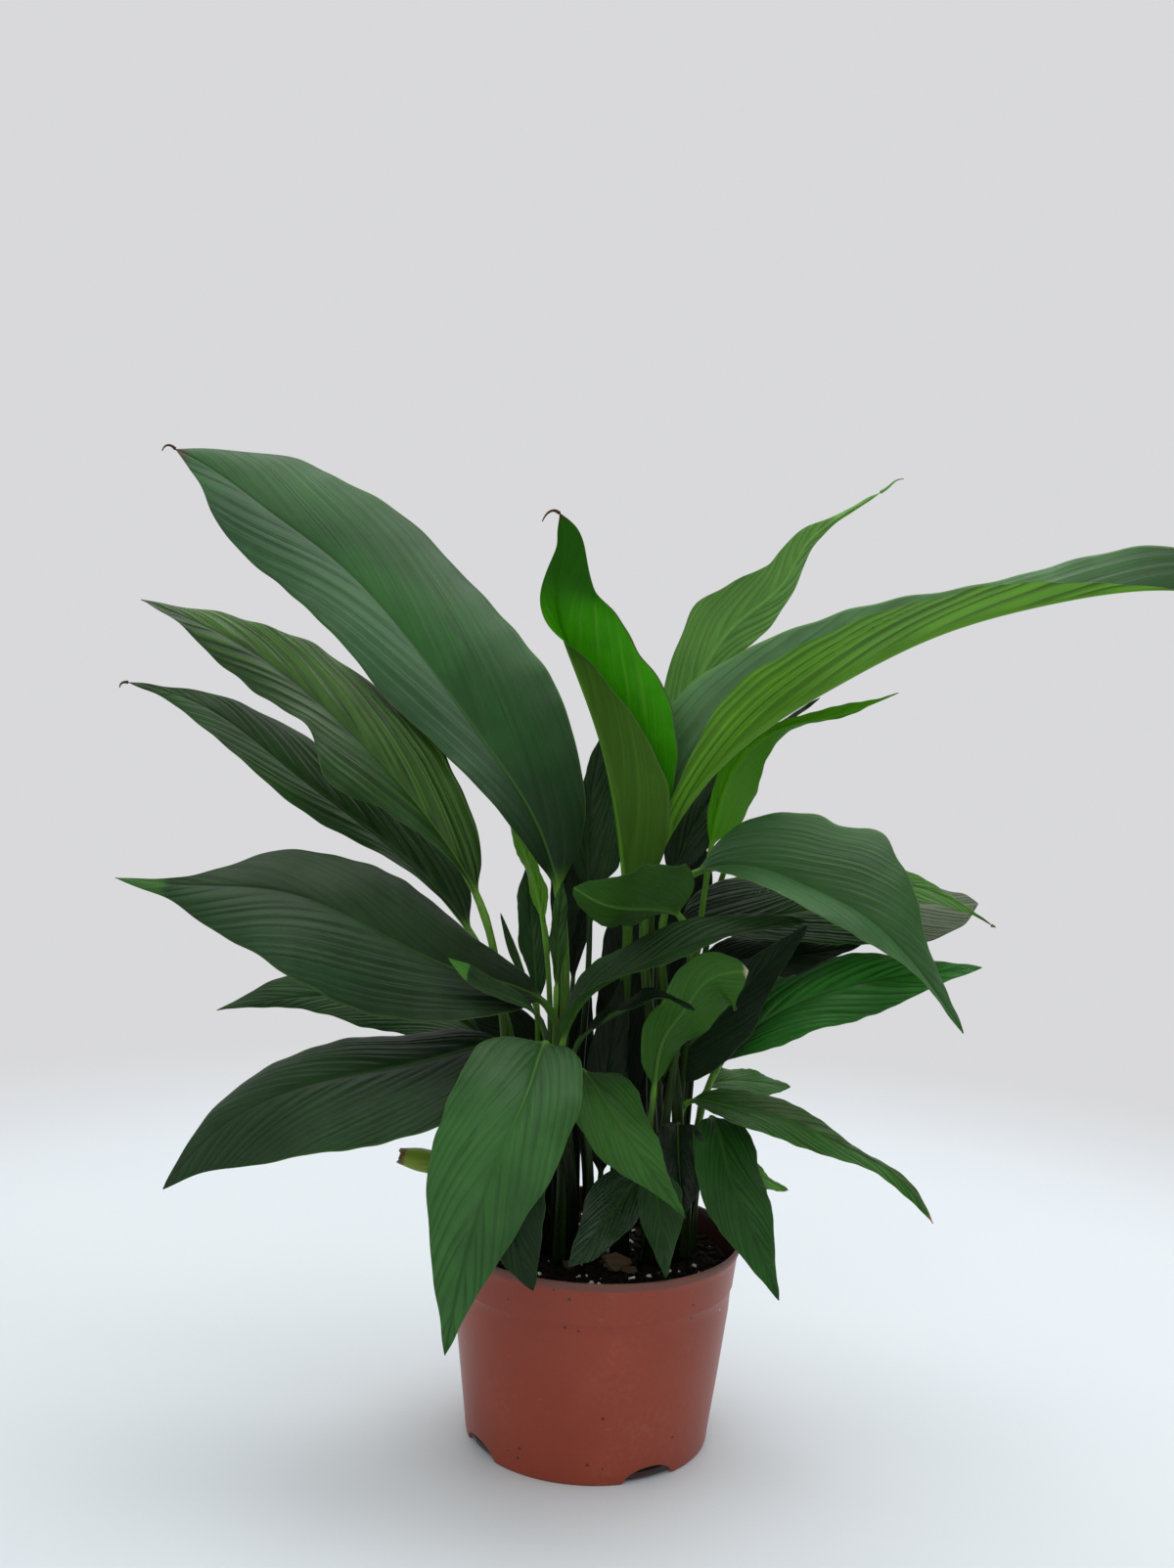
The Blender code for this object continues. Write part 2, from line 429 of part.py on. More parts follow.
def turned(name, profile, group, material):
    """A profile of (radius, height) points, swept round the Z axis."""
    mesh = bpy.data.meshes.new(name)
    points = [(r * MM, 0, z * MM) for r, z in profile]
    mesh.from_pydata(points, [(i, i + 1) for i in range(len(points) - 1)], [])
    item = add_object(name, mesh, group, material)
    screw = item.modifiers.new("turn", "SCREW")
    screw.axis = "Z"
    screw.steps = TURNS
    screw.render_steps = TURNS
    screw.use_merge_vertices = True
    screw.merge_threshold = 0.00005
    screw.use_smooth_shade = True
    return item


def wall_radius(z):
    """Outer radius of the plain tapered wall at a height."""
    return BASE_RADIUS + (RIM_RADIUS - BASE_RADIUS) * z / POT_HEIGHT


def pot_profile():
    """From the middle of the floor up the inside, over the rolled lip, down the outside and back under."""
    lip = POT_HEIGHT - LIP_DEPTH
    top = wall_radius(POT_HEIGHT)
    low = STEP_HEIGHT
    inside = [(0, FLOOR), (wall_radius(FLOOR) - WALL - 0.6, FLOOR)]
    inside += [(wall_radius(FLOOR + 0.8) - WALL, FLOOR + 0.8)]
    inside += [(wall_radius(low) - WALL - STEP_DEPTH, low - 1), (wall_radius(low + 1) - WALL, low + 1)]
    inside += [(top - WALL - 0.4, POT_HEIGHT - 0.9), (top - WALL + 0.1, POT_HEIGHT - 0.2)]
    outside = [(top, POT_HEIGHT), (top + LIP_STAND, POT_HEIGHT - 0.7), (top + LIP_STAND, lip + 1.2)]
    outside += [(top - 0.1, lip + 0.2), (wall_radius(lip - 0.8), lip - 0.8)]
    outside += [(wall_radius(low + 0.7), low + 0.7), (wall_radius(low - 0.3) - STEP_DEPTH, low - 0.3)]
    return inside + outside + [(BASE_RADIUS + 0.1, 1.0), (BASE_RADIUS - 0.8, 0), (0, 0)]


def notch_cutter(angle, group):
    """A lying drum whose upper part bites a shallow arch out of the base edge."""
    radius = ((NOTCH_WIDTH / 2) ** 2 + NOTCH_HEIGHT**2) / (2 * NOTCH_HEIGHT)
    reach = BASE_RADIUS - 2
    turn = np.radians(angle)
    bpy.ops.mesh.primitive_cylinder_add(
        vertices=40, radius=radius * MM, depth=14 * MM,
        location=(reach * MM * np.cos(turn), reach * MM * np.sin(turn), (NOTCH_HEIGHT - radius) * MM),
        rotation=(0, np.pi / 2, turn),
    )
    drum = bpy.context.object
    drum.name = f"notch_cutter_{angle}"
    drum.display_type = "WIRE"
    drum.hide_render = True
    for owner in list(drum.users_collection):
        owner.objects.unlink(drum)
    group.objects.link(drum)
    return drum


def build_pot(group, cutters):
    pot = turned("pot", pot_profile(), group, new_material("terracotta_plastic", TERRACOTTA, 0.4))
    for angle in NOTCH_ANGLES:
        cut = pot.modifiers.new(f"notch_{angle}", "BOOLEAN")
        cut.operation = "DIFFERENCE"
        cut.solver = "EXACT"
        cut.object = notch_cutter(angle, cutters)
    return pot


def build_soil(group):
    """The growing mix fills the pot and keeps a seat gap to its wall and floor."""
    low = FLOOR + SEAT_GAP
    step = STEP_HEIGHT
    inner = WALL + SEAT_GAP + 0.1
    profile = [(0, SOIL_TOP), (wall_radius(SOIL_TOP) - inner - 1.2, SOIL_TOP)]
    profile += [(wall_radius(SOIL_TOP - 1) - inner, SOIL_TOP - 1)]
    profile += [(wall_radius(step + 1) - inner, step + 1), (wall_radius(step) - inner - STEP_DEPTH, step - 1)]
    profile += [(wall_radius(low + 2) - inner, low + 2), (wall_radius(low) - inner - 1.5, low), (0, low)]
    return turned("soil", profile, group, new_material("growing_mix", EARTH, 0.95))


def add_ring(mesh, points):
    return [mesh.verts.new(point * MM) for point in points]


def build_leaf(item, group, material):
    """Lofts the rings of a leaf into one closed skin, from its foot to its point."""
    across, stalk_rings, blade_rings = (2, 5, 10) if item["fine"] else (1, 4, 7)
    stalk, blade = leaf_skin(item, stalk_rings, blade_rings, across)
    shape = bmesh.new()
    rings = [add_ring(shape, ring) for ring in [*stalk, *blade]]
    for low, high in zip(rings[:-1], rings[1:]):
        for i in range(len(low)):
            j = (i + 1) % len(low)
            shape.faces.new((low[i], low[j], high[j], high[i]))
    shape.faces.new(rings[0][::-1])
    shape.faces.new(rings[-1])
    bmesh.ops.triangulate(shape, faces=shape.faces[:])
    bmesh.ops.recalc_face_normals(shape, faces=shape.faces[:])
    mesh = bpy.data.meshes.new(item["name"])
    shape.to_mesh(mesh)
    shape.free()
    mesh.shade_smooth()
    return add_object(item["name"], mesh, group, material)


def build_cut_stalk(group, material):
    """A stalk that was cut off short, round at its foot and square at its cut end."""
    line, length = spline(CUT_STALK)
    curve = bpy.data.curves.new("cut_stalk", "CURVE")
    curve.dimensions = "3D"
    curve.bevel_depth = CUT_STALK_RADIUS * MM
    curve.bevel_resolution = 2
    curve.use_fill_caps = True
    points = along(line, length, np.linspace(0, length[-1], 14)) * MM
    path = curve.splines.new("POLY")
    path.points.add(len(points) - 1)
    for slot, point in zip(path.points, points):
        slot.co = (*point, 1)
    return add_object("cut_stalk", curve, group, material)


def main():
    clear_scene()
    plant = new_collection("potted_peace_lily")
    cutters = new_collection("cutters", hidden=True)
    build_pot(plant, cutters)
    build_soil(plant)
    for item in LEAVES:
        colour = LIME if item["name"] == "leaf_rolled_young" else GREEN
        build_leaf(item, plant, new_material(item["name"], colour, 0.42))
    build_cut_stalk(plant, new_material("cut_stalk", LIME, 0.5))


main()
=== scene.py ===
"""The looks of a potted peace lily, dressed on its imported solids.

Metres, +Z up, the plant's front faces -Y. Leaf measures are kept in millimetres and degrees and are
turned into metres as each mesh is made. Every leaf is one surface: a stalk that flattens into a blade.
"""

import bpy
import numpy as np
from mathutils import Matrix


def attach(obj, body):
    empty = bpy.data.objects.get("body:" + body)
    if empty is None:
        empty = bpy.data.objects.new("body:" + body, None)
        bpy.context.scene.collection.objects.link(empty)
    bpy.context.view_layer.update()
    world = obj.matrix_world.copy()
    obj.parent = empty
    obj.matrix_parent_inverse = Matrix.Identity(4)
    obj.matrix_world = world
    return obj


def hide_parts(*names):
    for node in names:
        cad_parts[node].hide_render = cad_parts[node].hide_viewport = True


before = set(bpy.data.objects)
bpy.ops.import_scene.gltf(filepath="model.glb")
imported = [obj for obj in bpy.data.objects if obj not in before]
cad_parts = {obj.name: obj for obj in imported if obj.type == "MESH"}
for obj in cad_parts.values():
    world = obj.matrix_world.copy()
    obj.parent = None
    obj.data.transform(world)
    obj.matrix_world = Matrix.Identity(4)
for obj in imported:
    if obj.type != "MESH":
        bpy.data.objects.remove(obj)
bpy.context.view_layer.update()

MM = 0.001
POT_HEIGHT = 90.0
RIM_RADIUS = 65.0
BASE_RADIUS = 54.0
WALL = 1.0
FLOOR = 1.4
LIP_DEPTH = 4.8
LIP_STAND = 0.7
STEP_HEIGHT = 71.0
STEP_DEPTH = 0.5
NOTCH_WIDTH = 24.0
NOTCH_HEIGHT = 6.0
NOTCH_ANGLES = (-60, -150, 120, 30)
SOIL_TOP = 80.0
SEAT_GAP = 0.3
SOIL_SIDE = 76.0
GRAIN_REACH = 59.5
STATIONS = (0, 0.15, 0.3, 0.45, 0.6, 0.75, 0.87, 0.95, 1)
HALF_SKIN = 0.17
STALK_ROWS = 26
LENS = 35.03
CAMERA_PLACE = (-0.011, -0.677, 0.321)
CAMERA_DIP = 2.55
CAMERA_ROLL = 2.3
SKY = 0.7
OVERHEAD = 15.5
FRONT = 5.0
LAMP_SIZE = 1.4
TABLE_REACH = 30.0
LEAVES = []


def srgb(red, green, blue):
    """A colour given from 0 to 255 as a screen shows it, as the linear colour that nodes take."""
    c = np.array([red, green, blue]) / 255
    return tuple(np.where(c <= 0.04045, c / 12.92, ((c + 0.055) / 1.055) ** 2.4))


def leaf(
    name, stem, rib, face, left, right, fold, curl,
    stalk=1.8, wave=(1.5, 2.5, 0.0), fine=1, fold_left=None, curl_left=None,
):
    """Keeps one leaf's measures: foot and stalk points, midrib points from blade base to tip, the way
    its upper face looks at base, middle and tip, the half widths left and right of the midrib at
    STATIONS, how far each half folds up and curls, the stalk's radius, and the ripple of its margin
    (height, turns, phase)."""
    LEAVES.append({
        "name": "leaf_" + name, "stem": stem, "rib": rib, "face": face, "left": left, "right": right,
        "fold": fold, "curl": curl, "stalk": stalk, "wave": wave, "fine": fine,
        "fold_left": fold_left or fold, "curl_left": curl_left or curl,
    })


def shaded(name, stem, rib, half, stalk, face=(0.0, -0.95, 0.1), wave=(1.5, 2.5, 0.0)):
    """A plain leaf deep inside a clump: it looks one way all along and its two halves are alike."""
    leaf(name, stem, rib, [face] * 3, half, half, (20, 15, 8), (-10, -25, -15), stalk, wave, fine=0)


# the left clump: the large leaves from the top down, then the short and the shaded ones
leaf("tall_left", [(-14, 6), (-17, 5, 160)],
     [(-21, 0, 238), (-31, 2, 269), (-57, 8, 307), (-95, 20, 353),
      (-130, 31, 387), (-165, 39, 411), (-201, 45, 434), (-210, 43, 438)],
     [(0.5, -0.8, 0.35), (0.3, -0.75, 0.55), (0.3, -0.75, 0.5)],
     (18, 23, 29, 31, 28, 21, 10), (29, 44, 47, 47, 41, 26, 11),
     (28, 14, 6), (-10, -30, -20), stalk=2.3, wave=(2, 2.5, 0.1))
leaf("left_upper", [(-17, -1), (-30, -4, 165)],
     [(-56, -5, 236), (-79, -8, 272), (-127, -14, 321), (-165, -20, 347), (-204, -25, 363)],
     [(0.6, -0.75, 0.3), (0.35, -0.75, 0.55), (0.1, -0.7, 0.7)],
     (8, 15, 25, 18, 14, 8, 4), (16, 23, 27, 25, 14, 9, 5),
     (35, 20, 5), (-10, -35, -20), stalk=2.0, wave=(3, 2.2, 0.35))
leaf("left_middle", [(-20, 8), (-33, 8, 160)],
     [(-60, 12, 219), (-99, 15, 258), (-145, 18, 290), (-191, 20, 319), (-222, 20, 326)],
     [(0.5, -0.7, 0.5), (0.3, -0.65, 0.7), (0.1, -0.6, 0.8)],
     (8, 12, 15, 16, 13, 7, 3), (18, 20, 21, 23, 15, 6, 3),
     (30, 18, 5), (-10, -30, -15), wave=(2, 2, 0.2))
leaf("left_broad", [(-15, -8), (-18, -7, 150)],
     [(-24, -10, 192), (-60, -25, 209), (-98, -45, 229),
      (-134, -60, 245), (-172, -68, 247), (-198, -70, 249)],
     [(0.2, -0.6, 0.75), (0.15, -0.62, 0.75), (0.0, -0.6, 0.8)],
     (24, 36, 42, 42, 28, 10, 4), (12, 28, 34, 31, 13, 4, 1.5),
     (25, 16, 8), (-10, -38, -25), stalk=2.0, wave=(2, 2.3, 0.0))
leaf("left_behind", [(-27, 5), (-37, 12, 138)],
     [(-52, 15, 170), (-90, 20, 186), (-124, 20, 188), (-175, 10, 181)],
     [(0.1, -0.6, 0.8), (0.0, -0.55, 0.8), (-0.1, -0.5, 0.8)],
     (16, 20, 20, 14, 5, 2, 1), (8, 13, 16, 18, 15, 9, 4),
     (25, 15, 5), (-10, -30, -15), stalk=1.6, wave=(1.5, 2, 0.4))
leaf("left_lowest", [(-23, -5), (-26, -12, 140)],
     [(-38, -24, 176), (-72, -45, 175), (-116, -70, 169), (-148, -85, 155), (-170, -90, 130)],
     [(0.1, -0.5, 0.85), (-0.1, -0.6, 0.8), (-0.4, -0.7, 0.55)],
     (28, 36, 35, 33, 27, 14, 5), (13, 19, 23, 22, 15, 7, 3),
     (22, 12, 5), (-15, -40, -20), wave=(1.5, 2, 0.1))
leaf("front_left", [(-15, -16), (-17, -22, 145)],
     [(-24, -38, 182), (-29, -68, 172), (-40, -92, 147), (-50, -107, 114), (-56, -112, 78)],
     [(0.1, -0.4, 0.9), (-0.15, -0.8, 0.55), (-0.1, -0.95, 0.25)],
     (19, 23, 23, 19, 12, 6, 3), (26, 29, 29, 24, 14, 7, 3),
     (22, 14, 8), (-10, -35, -20), wave=(1.5, 2, 0.3))
leaf("front_under", [(-9, -15), (-12, -24, 125)],
     [(-24, -44, 158), (-32, -66, 142), (-34, -80, 118), (-24, -88, 95)],
     [(0.1, -0.5, 0.9), (0.1, -0.9, 0.4), (0.3, -0.95, 0.2)],
     (8, 12, 13, 14, 12, 8, 4), (8, 11, 12, 11, 9, 6, 3),
     (20, 12, 5), (-10, -30, -20), stalk=1.6)
leaf("front_center", [(-3, -12), (-5, -18, 140)],
     [(-8, -30, 169), (6, -50, 155), (20, -60, 138), (36, -66, 119)],
     [(0.3, -0.4, 0.9), (0.3, -0.75, 0.6), (0.4, -0.8, 0.4)],
     (14, 16, 14, 11, 7, 4, 2), (14, 18, 17, 12, 7, 3, 1),
     (22, 12, 5), (-10, -30, -20), stalk=1.6)
leaf("behind_stalks", [(-25, 13), (-28, 18, 140)],
     [(-30, 20, 188), (-34, 24, 222), (-37, 26, 252)],
     [(0.4, -0.8, 0.2), (0.4, -0.85, 0.1), (0.4, -0.85, 0.1)],
     (3, 5, 7, 7, 6, 4, 2), (5, 7, 8, 8, 6, 3, 1),
     (20, 15, 5), (-10, -20, -10), stalk=1.4, fine=0)
leaf("short_lime", [(-19, 14), (-22, 12, 150)],
     [(-28, 11, 225), (-36, 10, 255), (-51, 6, 284)],
     [(0.5, 0.8, 0.3)] * 3,
     (3, 5, 5, 5, 4, 2, 1), (3, 5, 5, 4, 3, 2, 1),
     (20, 15, 5), (-10, -20, -10), stalk=1.4, fine=0)
leaf("upright_dark", [(-9, 12), (-9, 16, 150)],
     [(-8, 19, 240), (-10, 21, 273), (-5, 24, 306), (1, 25, 340)],
     [(0.2, -0.9, -0.1), (0.2, -0.9, 0), (0.2, -0.9, 0)],
     (7, 10, 8, 6, 4, 3, 1), (10, 12, 12, 12, 9, 6, 3),
     (25, 15, 5), (-10, -20, -10), stalk=1.5, fine=0)
leaf("arching_dark", [(-9, -6), (-12, -14, 130)],
     [(-17, -16, 178), (-7, -26, 201), (13, -38, 216), (40, -46, 230), (82, -50, 240)],
     [(-0.5, -0.2, 0.85), (-0.3, -0.35, 0.85), (0, -0.35, 0.9)],
     (10, 14, 16, 13, 12, 10, 5), (12, 20, 18, 14, 8, 5, 3),
     (30, 25, 10), (0, -10, -10), stalk=1.6)
leaf("narrow_hook", [(-3, -5), (-8, -14, 140)],
     [(-9, -32, 184), (9, -42, 199), (25, -51, 206), (37, -55, 202)],
     [(-0.3, -0.3, 0.9), (0, -0.3, 0.9), (0.3, -0.3, 0.9)],
     (3, 6, 8, 7, 5, 3, 2), (3, 6, 8, 7, 5, 3, 2),
     (25, 20, 10), (0, -10, -10), stalk=1.3, fine=0)
leaf("sheath_tip", [(-13, 18), (-18, 18, 140)],
     [(-34, 16, 196), (-41, 15, 212), (-48, 14, 230)],
     [(-0.6, -0.7, 0.2)] * 3,
     (1.5, 2, 2.5, 2.5, 2, 1.5, 1), (1.5, 2, 2.5, 2.5, 2, 1.5, 1),
     (20, 14, 5), (0, 0, 0), stalk=1.2, fine=0)
leaf("narrow_upright", [(-21, 3), (-21, 0, 150)],
     [(-21, -4, 200), (-21, -7, 224), (-20, -9, 249)],
     [(0.3, -0.9, 0.2)] * 3,
     (2, 3, 4, 4, 3, 2, 1), (2, 3, 4, 4, 3, 2, 1),
     (20, 14, 5), (-10, -20, -10), stalk=1.3, fine=0)
shaded("core_front", [(1, -9), (2, -9, 100)], [(2, -9, 117), (2, -9, 150), (4, -9, 180), (8, -9, 206)],
       (6, 9, 10, 9, 7, 4, 2), 1.5, face=(0.1, -0.95, 0.1))
shaded("core_back", [(8, 14), (10, 16, 110)], [(11, 18, 136), (10, 19, 165), (9, 20, 202), (10, 21, 244)],
       (8, 12, 12, 11, 10, 7, 4), 1.6)
shaded("core_left", [(-13, 26), (-12, 28, 120)], [(-11, 28, 146), (-11, 28, 172), (-6, 28, 198)],
       (6, 8, 8, 7, 5, 3, 1.5), 1.4)
shaded("core_tall", [(-22, 26), (-22, 28, 150)], [(-19, 28, 209), (-19, 28, 238), (-19, 28, 270)],
       (4, 6, 7, 7, 6, 4, 2), 1.4)
# a shaded leaf of the right clump
leaf("right_shadow", [(33, 28), (37, 25, 160)],
     [(42, 26, 200), (62, 26, 211), (91, 24, 215), (118, 21, 221)],
     [(0.0, -0.6, 0.8)] * 3,
     (9, 13, 14, 13, 9, 5, 2), (9, 13, 14, 12, 8, 4, 2),
     (20, 15, 8), (-10, -25, -15), stalk=1.4, fine=0)
# a small bract of the left clump
leaf("small_bract", [(-25, -11), (-24, -20, 145)],
     [(-26, -24, 188), (-42, -36, 199), (-56, -44, 210)],
     [(0, -0.6, 0.8)] * 3,
     (2, 3, 4, 4, 3, 2, 1), (2, 3, 4, 4, 3, 2, 1),
     (20, 14, 5), (0, 0, 0), stalk=1.2, fine=0)
# the right clump
leaf("rolled_young", [(12, -4), (9, -4, 170)],
     [(9, -8, 238), (0, -11, 280), (-12, -13, 320),
      (-23, -17, 349), (-27, -21, 376), (-24, -25, 394), (-27, -29, 406)],
     [(-0.1, -0.95, 0.1), (-0.2, -0.95, 0.1), (-0.2, -0.95, 0.1)],
     (22, 31, 28, 18, 10, 6, 4), (17, 28, 35, 33, 27, 16, 8),
     (8, 6, 6, 6, 10, 15), (10, 10, 5, 5, 5, 10), stalk=2.6,
     fold_left=(152, 150, 142, 130, 40, 20), curl_left=(5, 5, 5, 5, 5, 10))
leaf("long_right", [(29, 3), (24, 2, 170)],
     [(20, -4, 256), (32, -10, 282), (56, -18, 312), (91, -30, 338),
      (132, -42, 361), (181, -54, 376), (221, -62, 381), (258, -66, 376)],
     [(-0.7, -0.3, 0.6), (-0.4, -0.3, 0.85), (-0.1, -0.2, 0.95)],
     (34, 36, 26, 15, 15, 23, 14), (18, 34, 36, 25, 12, 4, 2),
     (60, 58, 50), (0, -10, -10), stalk=2.2, wave=(2, 2.5, 0.2), fold_left=(60, 56, 50))
leaf("back_upper", [(29, 17), (22, 29, 200)],
     [(27, 34, 300), (38, 34, 338), (55, 36, 366),
      (78, 42, 388), (87, 44, 405), (104, 47, 420), (122, 50, 432)],
     [(-0.2, 0.9, 0.4), (-0.3, 0.9, 0.4), (-0.3, 0.9, 0.4)],
     (10, 13, 13, 10, 6, 3, 2), (12, 17, 18, 15, 8, 3, 2),
     (25, 15, 20), (-10, -20, 0), stalk=1.6, wave=(2, 2, 0.2))
leaf("backlit", [(34, 6), (38, 7, 170)],
     [(46, 10, 263), (52, 12, 293), (64, 14, 311), (78, 12, 320), (97, 8, 325), (126, 4, 337)],
     [(-0.4, 0.85, 0.2), (-0.4, 0.8, 0.3), (-0.2, 0.3, 0.9)],
     (22, 26, 13, 5, 2.5, 2, 1.5), (5, 6, 4, 4, 4, 3, 2),
     (20, 20, 20), (0, 0, 0), stalk=1.5, fine=0)
leaf("striped_back", [(24, 11), (27, 13, 170)],
     [(29, 19, 245), (43, 30, 278), (66, 39, 309), (97, 42, 334)],
     [(-0.3, -0.8, 0.5), (-0.4, -0.7, 0.5), (-0.4, -0.6, 0.6)],
     (9, 11, 10, 7, 4, 2, 1), (12, 14, 13, 9, 5, 2, 1),
     (25, 15, 5), (0, -20, -10), stalk=1.5, fine=0)
leaf("right_broad", [(34, -2), (33, -3, 165)],
     [(36, -10, 253), (60, -22, 259), (83, -36, 253), (104, -48, 244), (129, -60, 221), (145, -66, 199)],
     [(-0.1, -0.4, 0.9), (0.1, -0.6, 0.8), (0.5, -0.6, 0.6)],
     (32, 41, 38, 25, 13, 7, 3), (22, 28, 30, 24, 12, 4, 2),
     (30, 30, 15), (-5, -10, -10), stalk=2.0, fold_left=(20, 18, 8), curl_left=(-10, -15, -10))
leaf("left_turn", [(30, -7), (32, -8, 165)],
     [(31, -13, 236), (14, -30, 240), (-3, -42, 243), (-15, -48, 250)],
     [(0.1, 0.8, 0.6), (0.1, 0.85, 0.5), (0.1, 0.8, 0.6)],
     (20, 26, 26, 24, 22, 16, 9), (14, 16, 14, 12, 10, 7, 4),
     (15, 10, 5), (0, -10, -10), stalk=1.6)
leaf("folded_dark", [(37, 13), (35, 14, 120)],
     [(28, 15, 152), (47, 13, 180), (70, 11, 207), (91, 8, 231)],
     [(-0.3, -0.85, 0.3)] * 3,
     (8, 12, 12, 10, 7, 4, 2), (14, 18, 18, 12, 8, 5, 3),
     (15, 12, 8), (0, -10, -10), stalk=1.6)
leaf("curled_under", [(24, -10), (22, -8, 120)],
     [(24, -10, 158), (27, -18, 183), (35, -28, 198), (44, -36, 212), (60, -40, 217)],
     [(-0.3, 0.9, 0.1), (-0.3, 0.9, 0.2), (-0.2, 0.85, 0.3)],
     (2, 5, 9, 15, 18, 17, 10), (3, 6, 9, 12, 14, 13, 9),
     (15, 10, 0), (0, -20, -20), stalk=1.5)
leaf("right_green", [(39, 6), (45, 12, 130)],
     [(54, 15, 163), (74, 14, 185), (108, 8, 203), (141, 0, 212), (167, -6, 217)],
     [(-0.3, -0.6, 0.75), (-0.2, -0.65, 0.75), (0, -0.6, 0.8)],
     (12, 17, 20, 17, 12, 7, 3), (14, 20, 20, 18, 14, 7, 3),
     (25, 15, 5), (-5, -30, -15), stalk=1.8)
leaf("striped_grey", [(31, 11), (29, 21, 160)],
     [(32, 22, 225), (73, 35, 230), (112, 32, 238), (147, 20, 241), (169, 14, 243)],
     [(0, -0.6, 0.8), (0, -0.6, 0.8), (0, -0.5, 0.8)],
     (18, 25, 26, 22, 20, 14, 9), (14, 18, 22, 25, 28, 25, 17),
     (22, 12, 5), (-5, -25, -15), stalk=1.6)
leaf("green_tip", [(38, 20), (44, 34, 170), (51, 52, 224), (61, 45, 261)],
     [(75, 20, 265), (93, 7, 259), (113, 2, 254), (145, -2, 249), (170, -6, 236)],
     [(0, -0.6, 0.8), (0, -0.6, 0.8), (0.1, -0.6, 0.8)],
     (8, 12, 12, 8, 5, 3, 1.5), (8, 12, 12, 10, 8, 5, 2),
     (20, 12, 5), (-5, -20, -10), stalk=1.5)
leaf("right_low", [(39, 0), (39, 0, 125)],
     [(39, 1, 149), (55, -10, 152), (79, -25, 151), (105, -38, 143), (124, -44, 134), (141, -48, 115)],
     [(0, -0.4, 0.9), (0.1, -0.5, 0.85), (0.4, -0.5, 0.75)],
     (8, 13, 9, 5, 4, 3, 2), (13, 20, 14, 12, 7, 4, 2),
     (30, 22, 10), (-5, -25, -15), stalk=1.5, wave=(1.5, 2.5, 0.3))
leaf("right_small", [(44, 15), (47, 24, 125)],
     [(51, 30, 149), (71, 40, 151), (92, 45, 148)],
     [(0, -0.5, 0.85), (0, -0.5, 0.85), (0.2, -0.5, 0.85)],
     (5, 8, 9, 7, 6, 4, 2), (8, 11, 11, 9, 8, 5, 2),
     (15, 10, 5), (-5, -15, -10), stalk=1.3, fine=0)
leaf("soil_shiny", [(22, -14), (25, -15, 105)],
     [(22, -19, 122), (8, -32, 111), (-3, -42, 99), (-11, -47, 90)],
     [(0.2, -0.5, 0.85), (0.0, -0.7, 0.7), (-0.3, -0.7, 0.6)],
     (7, 11, 11, 10, 8, 6, 3), (10, 13, 13, 10, 6, 4, 2),
     (20, 15, 5), (-5, -30, -15), stalk=1.4, fine=0)
leaf("pointing_down", [(29, -14), (28, -24, 112)],
     [(24, -32, 128), (27, -50, 111), (29, -63, 93)],
     [(0.2, -0.6, 0.8), (0.2, -0.8, 0.5), (0.2, -0.9, 0.3)],
     (8, 11, 11, 8, 5, 3, 2), (6, 9, 9, 7, 5, 3, 1),
     (20, 15, 5), (-5, -30, -15), stalk=1.3, fine=0)
leaf("heart_dark", [(36, -8), (36, -7, 120)],
     [(35, -12, 143), (35, -26, 132), (36, -33, 122), (38, -37, 112)],
     [(0, -0.5, 0.85), (0, -0.8, 0.6), (0, -0.9, 0.4)],
     (10, 10, 9, 8, 6, 4, 2), (12, 12, 11, 9, 6, 3, 1),
     (25, 15, 5), (-5, -30, -15), stalk=1.3, fine=0)
leaf("front_right", [(41, -5), (43, -5, 120)],
     [(50, -7, 145), (55, -32, 132), (64, -52, 112), (76, -62, 85)],
     [(0.1, -0.6, 0.8), (0.1, -0.8, 0.6), (0.2, -0.9, 0.35)],
     (12, 14, 14, 12, 8, 4, 2), (12, 14, 15, 13, 9, 5, 2),
     (22, 14, 5), (-5, -30, -15), stalk=1.6)
leaf("right_peek", [(45, 3), (46, 4, 108)],
     [(52, 5, 127), (71, 12, 117), (89, 16, 107)],
     [(0.3, -0.5, 0.85), (0.3, -0.6, 0.8), (0.3, -0.6, 0.8)],
     (4, 5, 5, 4, 3, 2, 1), (7, 9, 9, 8, 6, 4, 2),
     (20, 14, 5), (-5, -20, -10), stalk=1.2, fine=0)


def unit(v):
    return v / np.maximum(np.linalg.norm(v, axis=-1, keepdims=True), 1e-12)


def ease(x, y, q):
    """Smooth curve through the stations x, y that never overshoots them."""
    x, y = np.asarray(x, float), np.asarray(y, float)
    step = np.diff(x)
    rise = np.diff(y) / step
    slope = np.zeros(len(x))
    slope[0], slope[-1] = rise[0], rise[-1]
    for i in range(1, len(x) - 1):
        if rise[i - 1] * rise[i] > 0:
            w1, w2 = 2 * step[i] + step[i - 1], step[i] + 2 * step[i - 1]
            slope[i] = (w1 + w2) / (w1 / rise[i - 1] + w2 / rise[i])
    i = np.clip(np.searchsorted(x, q, side="right") - 1, 0, len(x) - 2)
    t = (q - x[i]) / step[i]
    ends = (2 * t**3 - 3 * t**2 + 1) * y[i] + (3 * t**2 - 2 * t**3) * y[i + 1]
    return ends + ((t**3 - 2 * t**2 + t) * slope[i] + (t**3 - t**2) * slope[i + 1]) * step[i]


def spread(values, q):
    """Values given at equal steps from 0 to 1, read at q."""
    values = np.asarray(values, float)
    x = np.linspace(0, 1, len(values))
    if values.ndim == 1:
        return ease(x, values, q)
    return np.stack([ease(x, column, q) for column in values.T], -1)


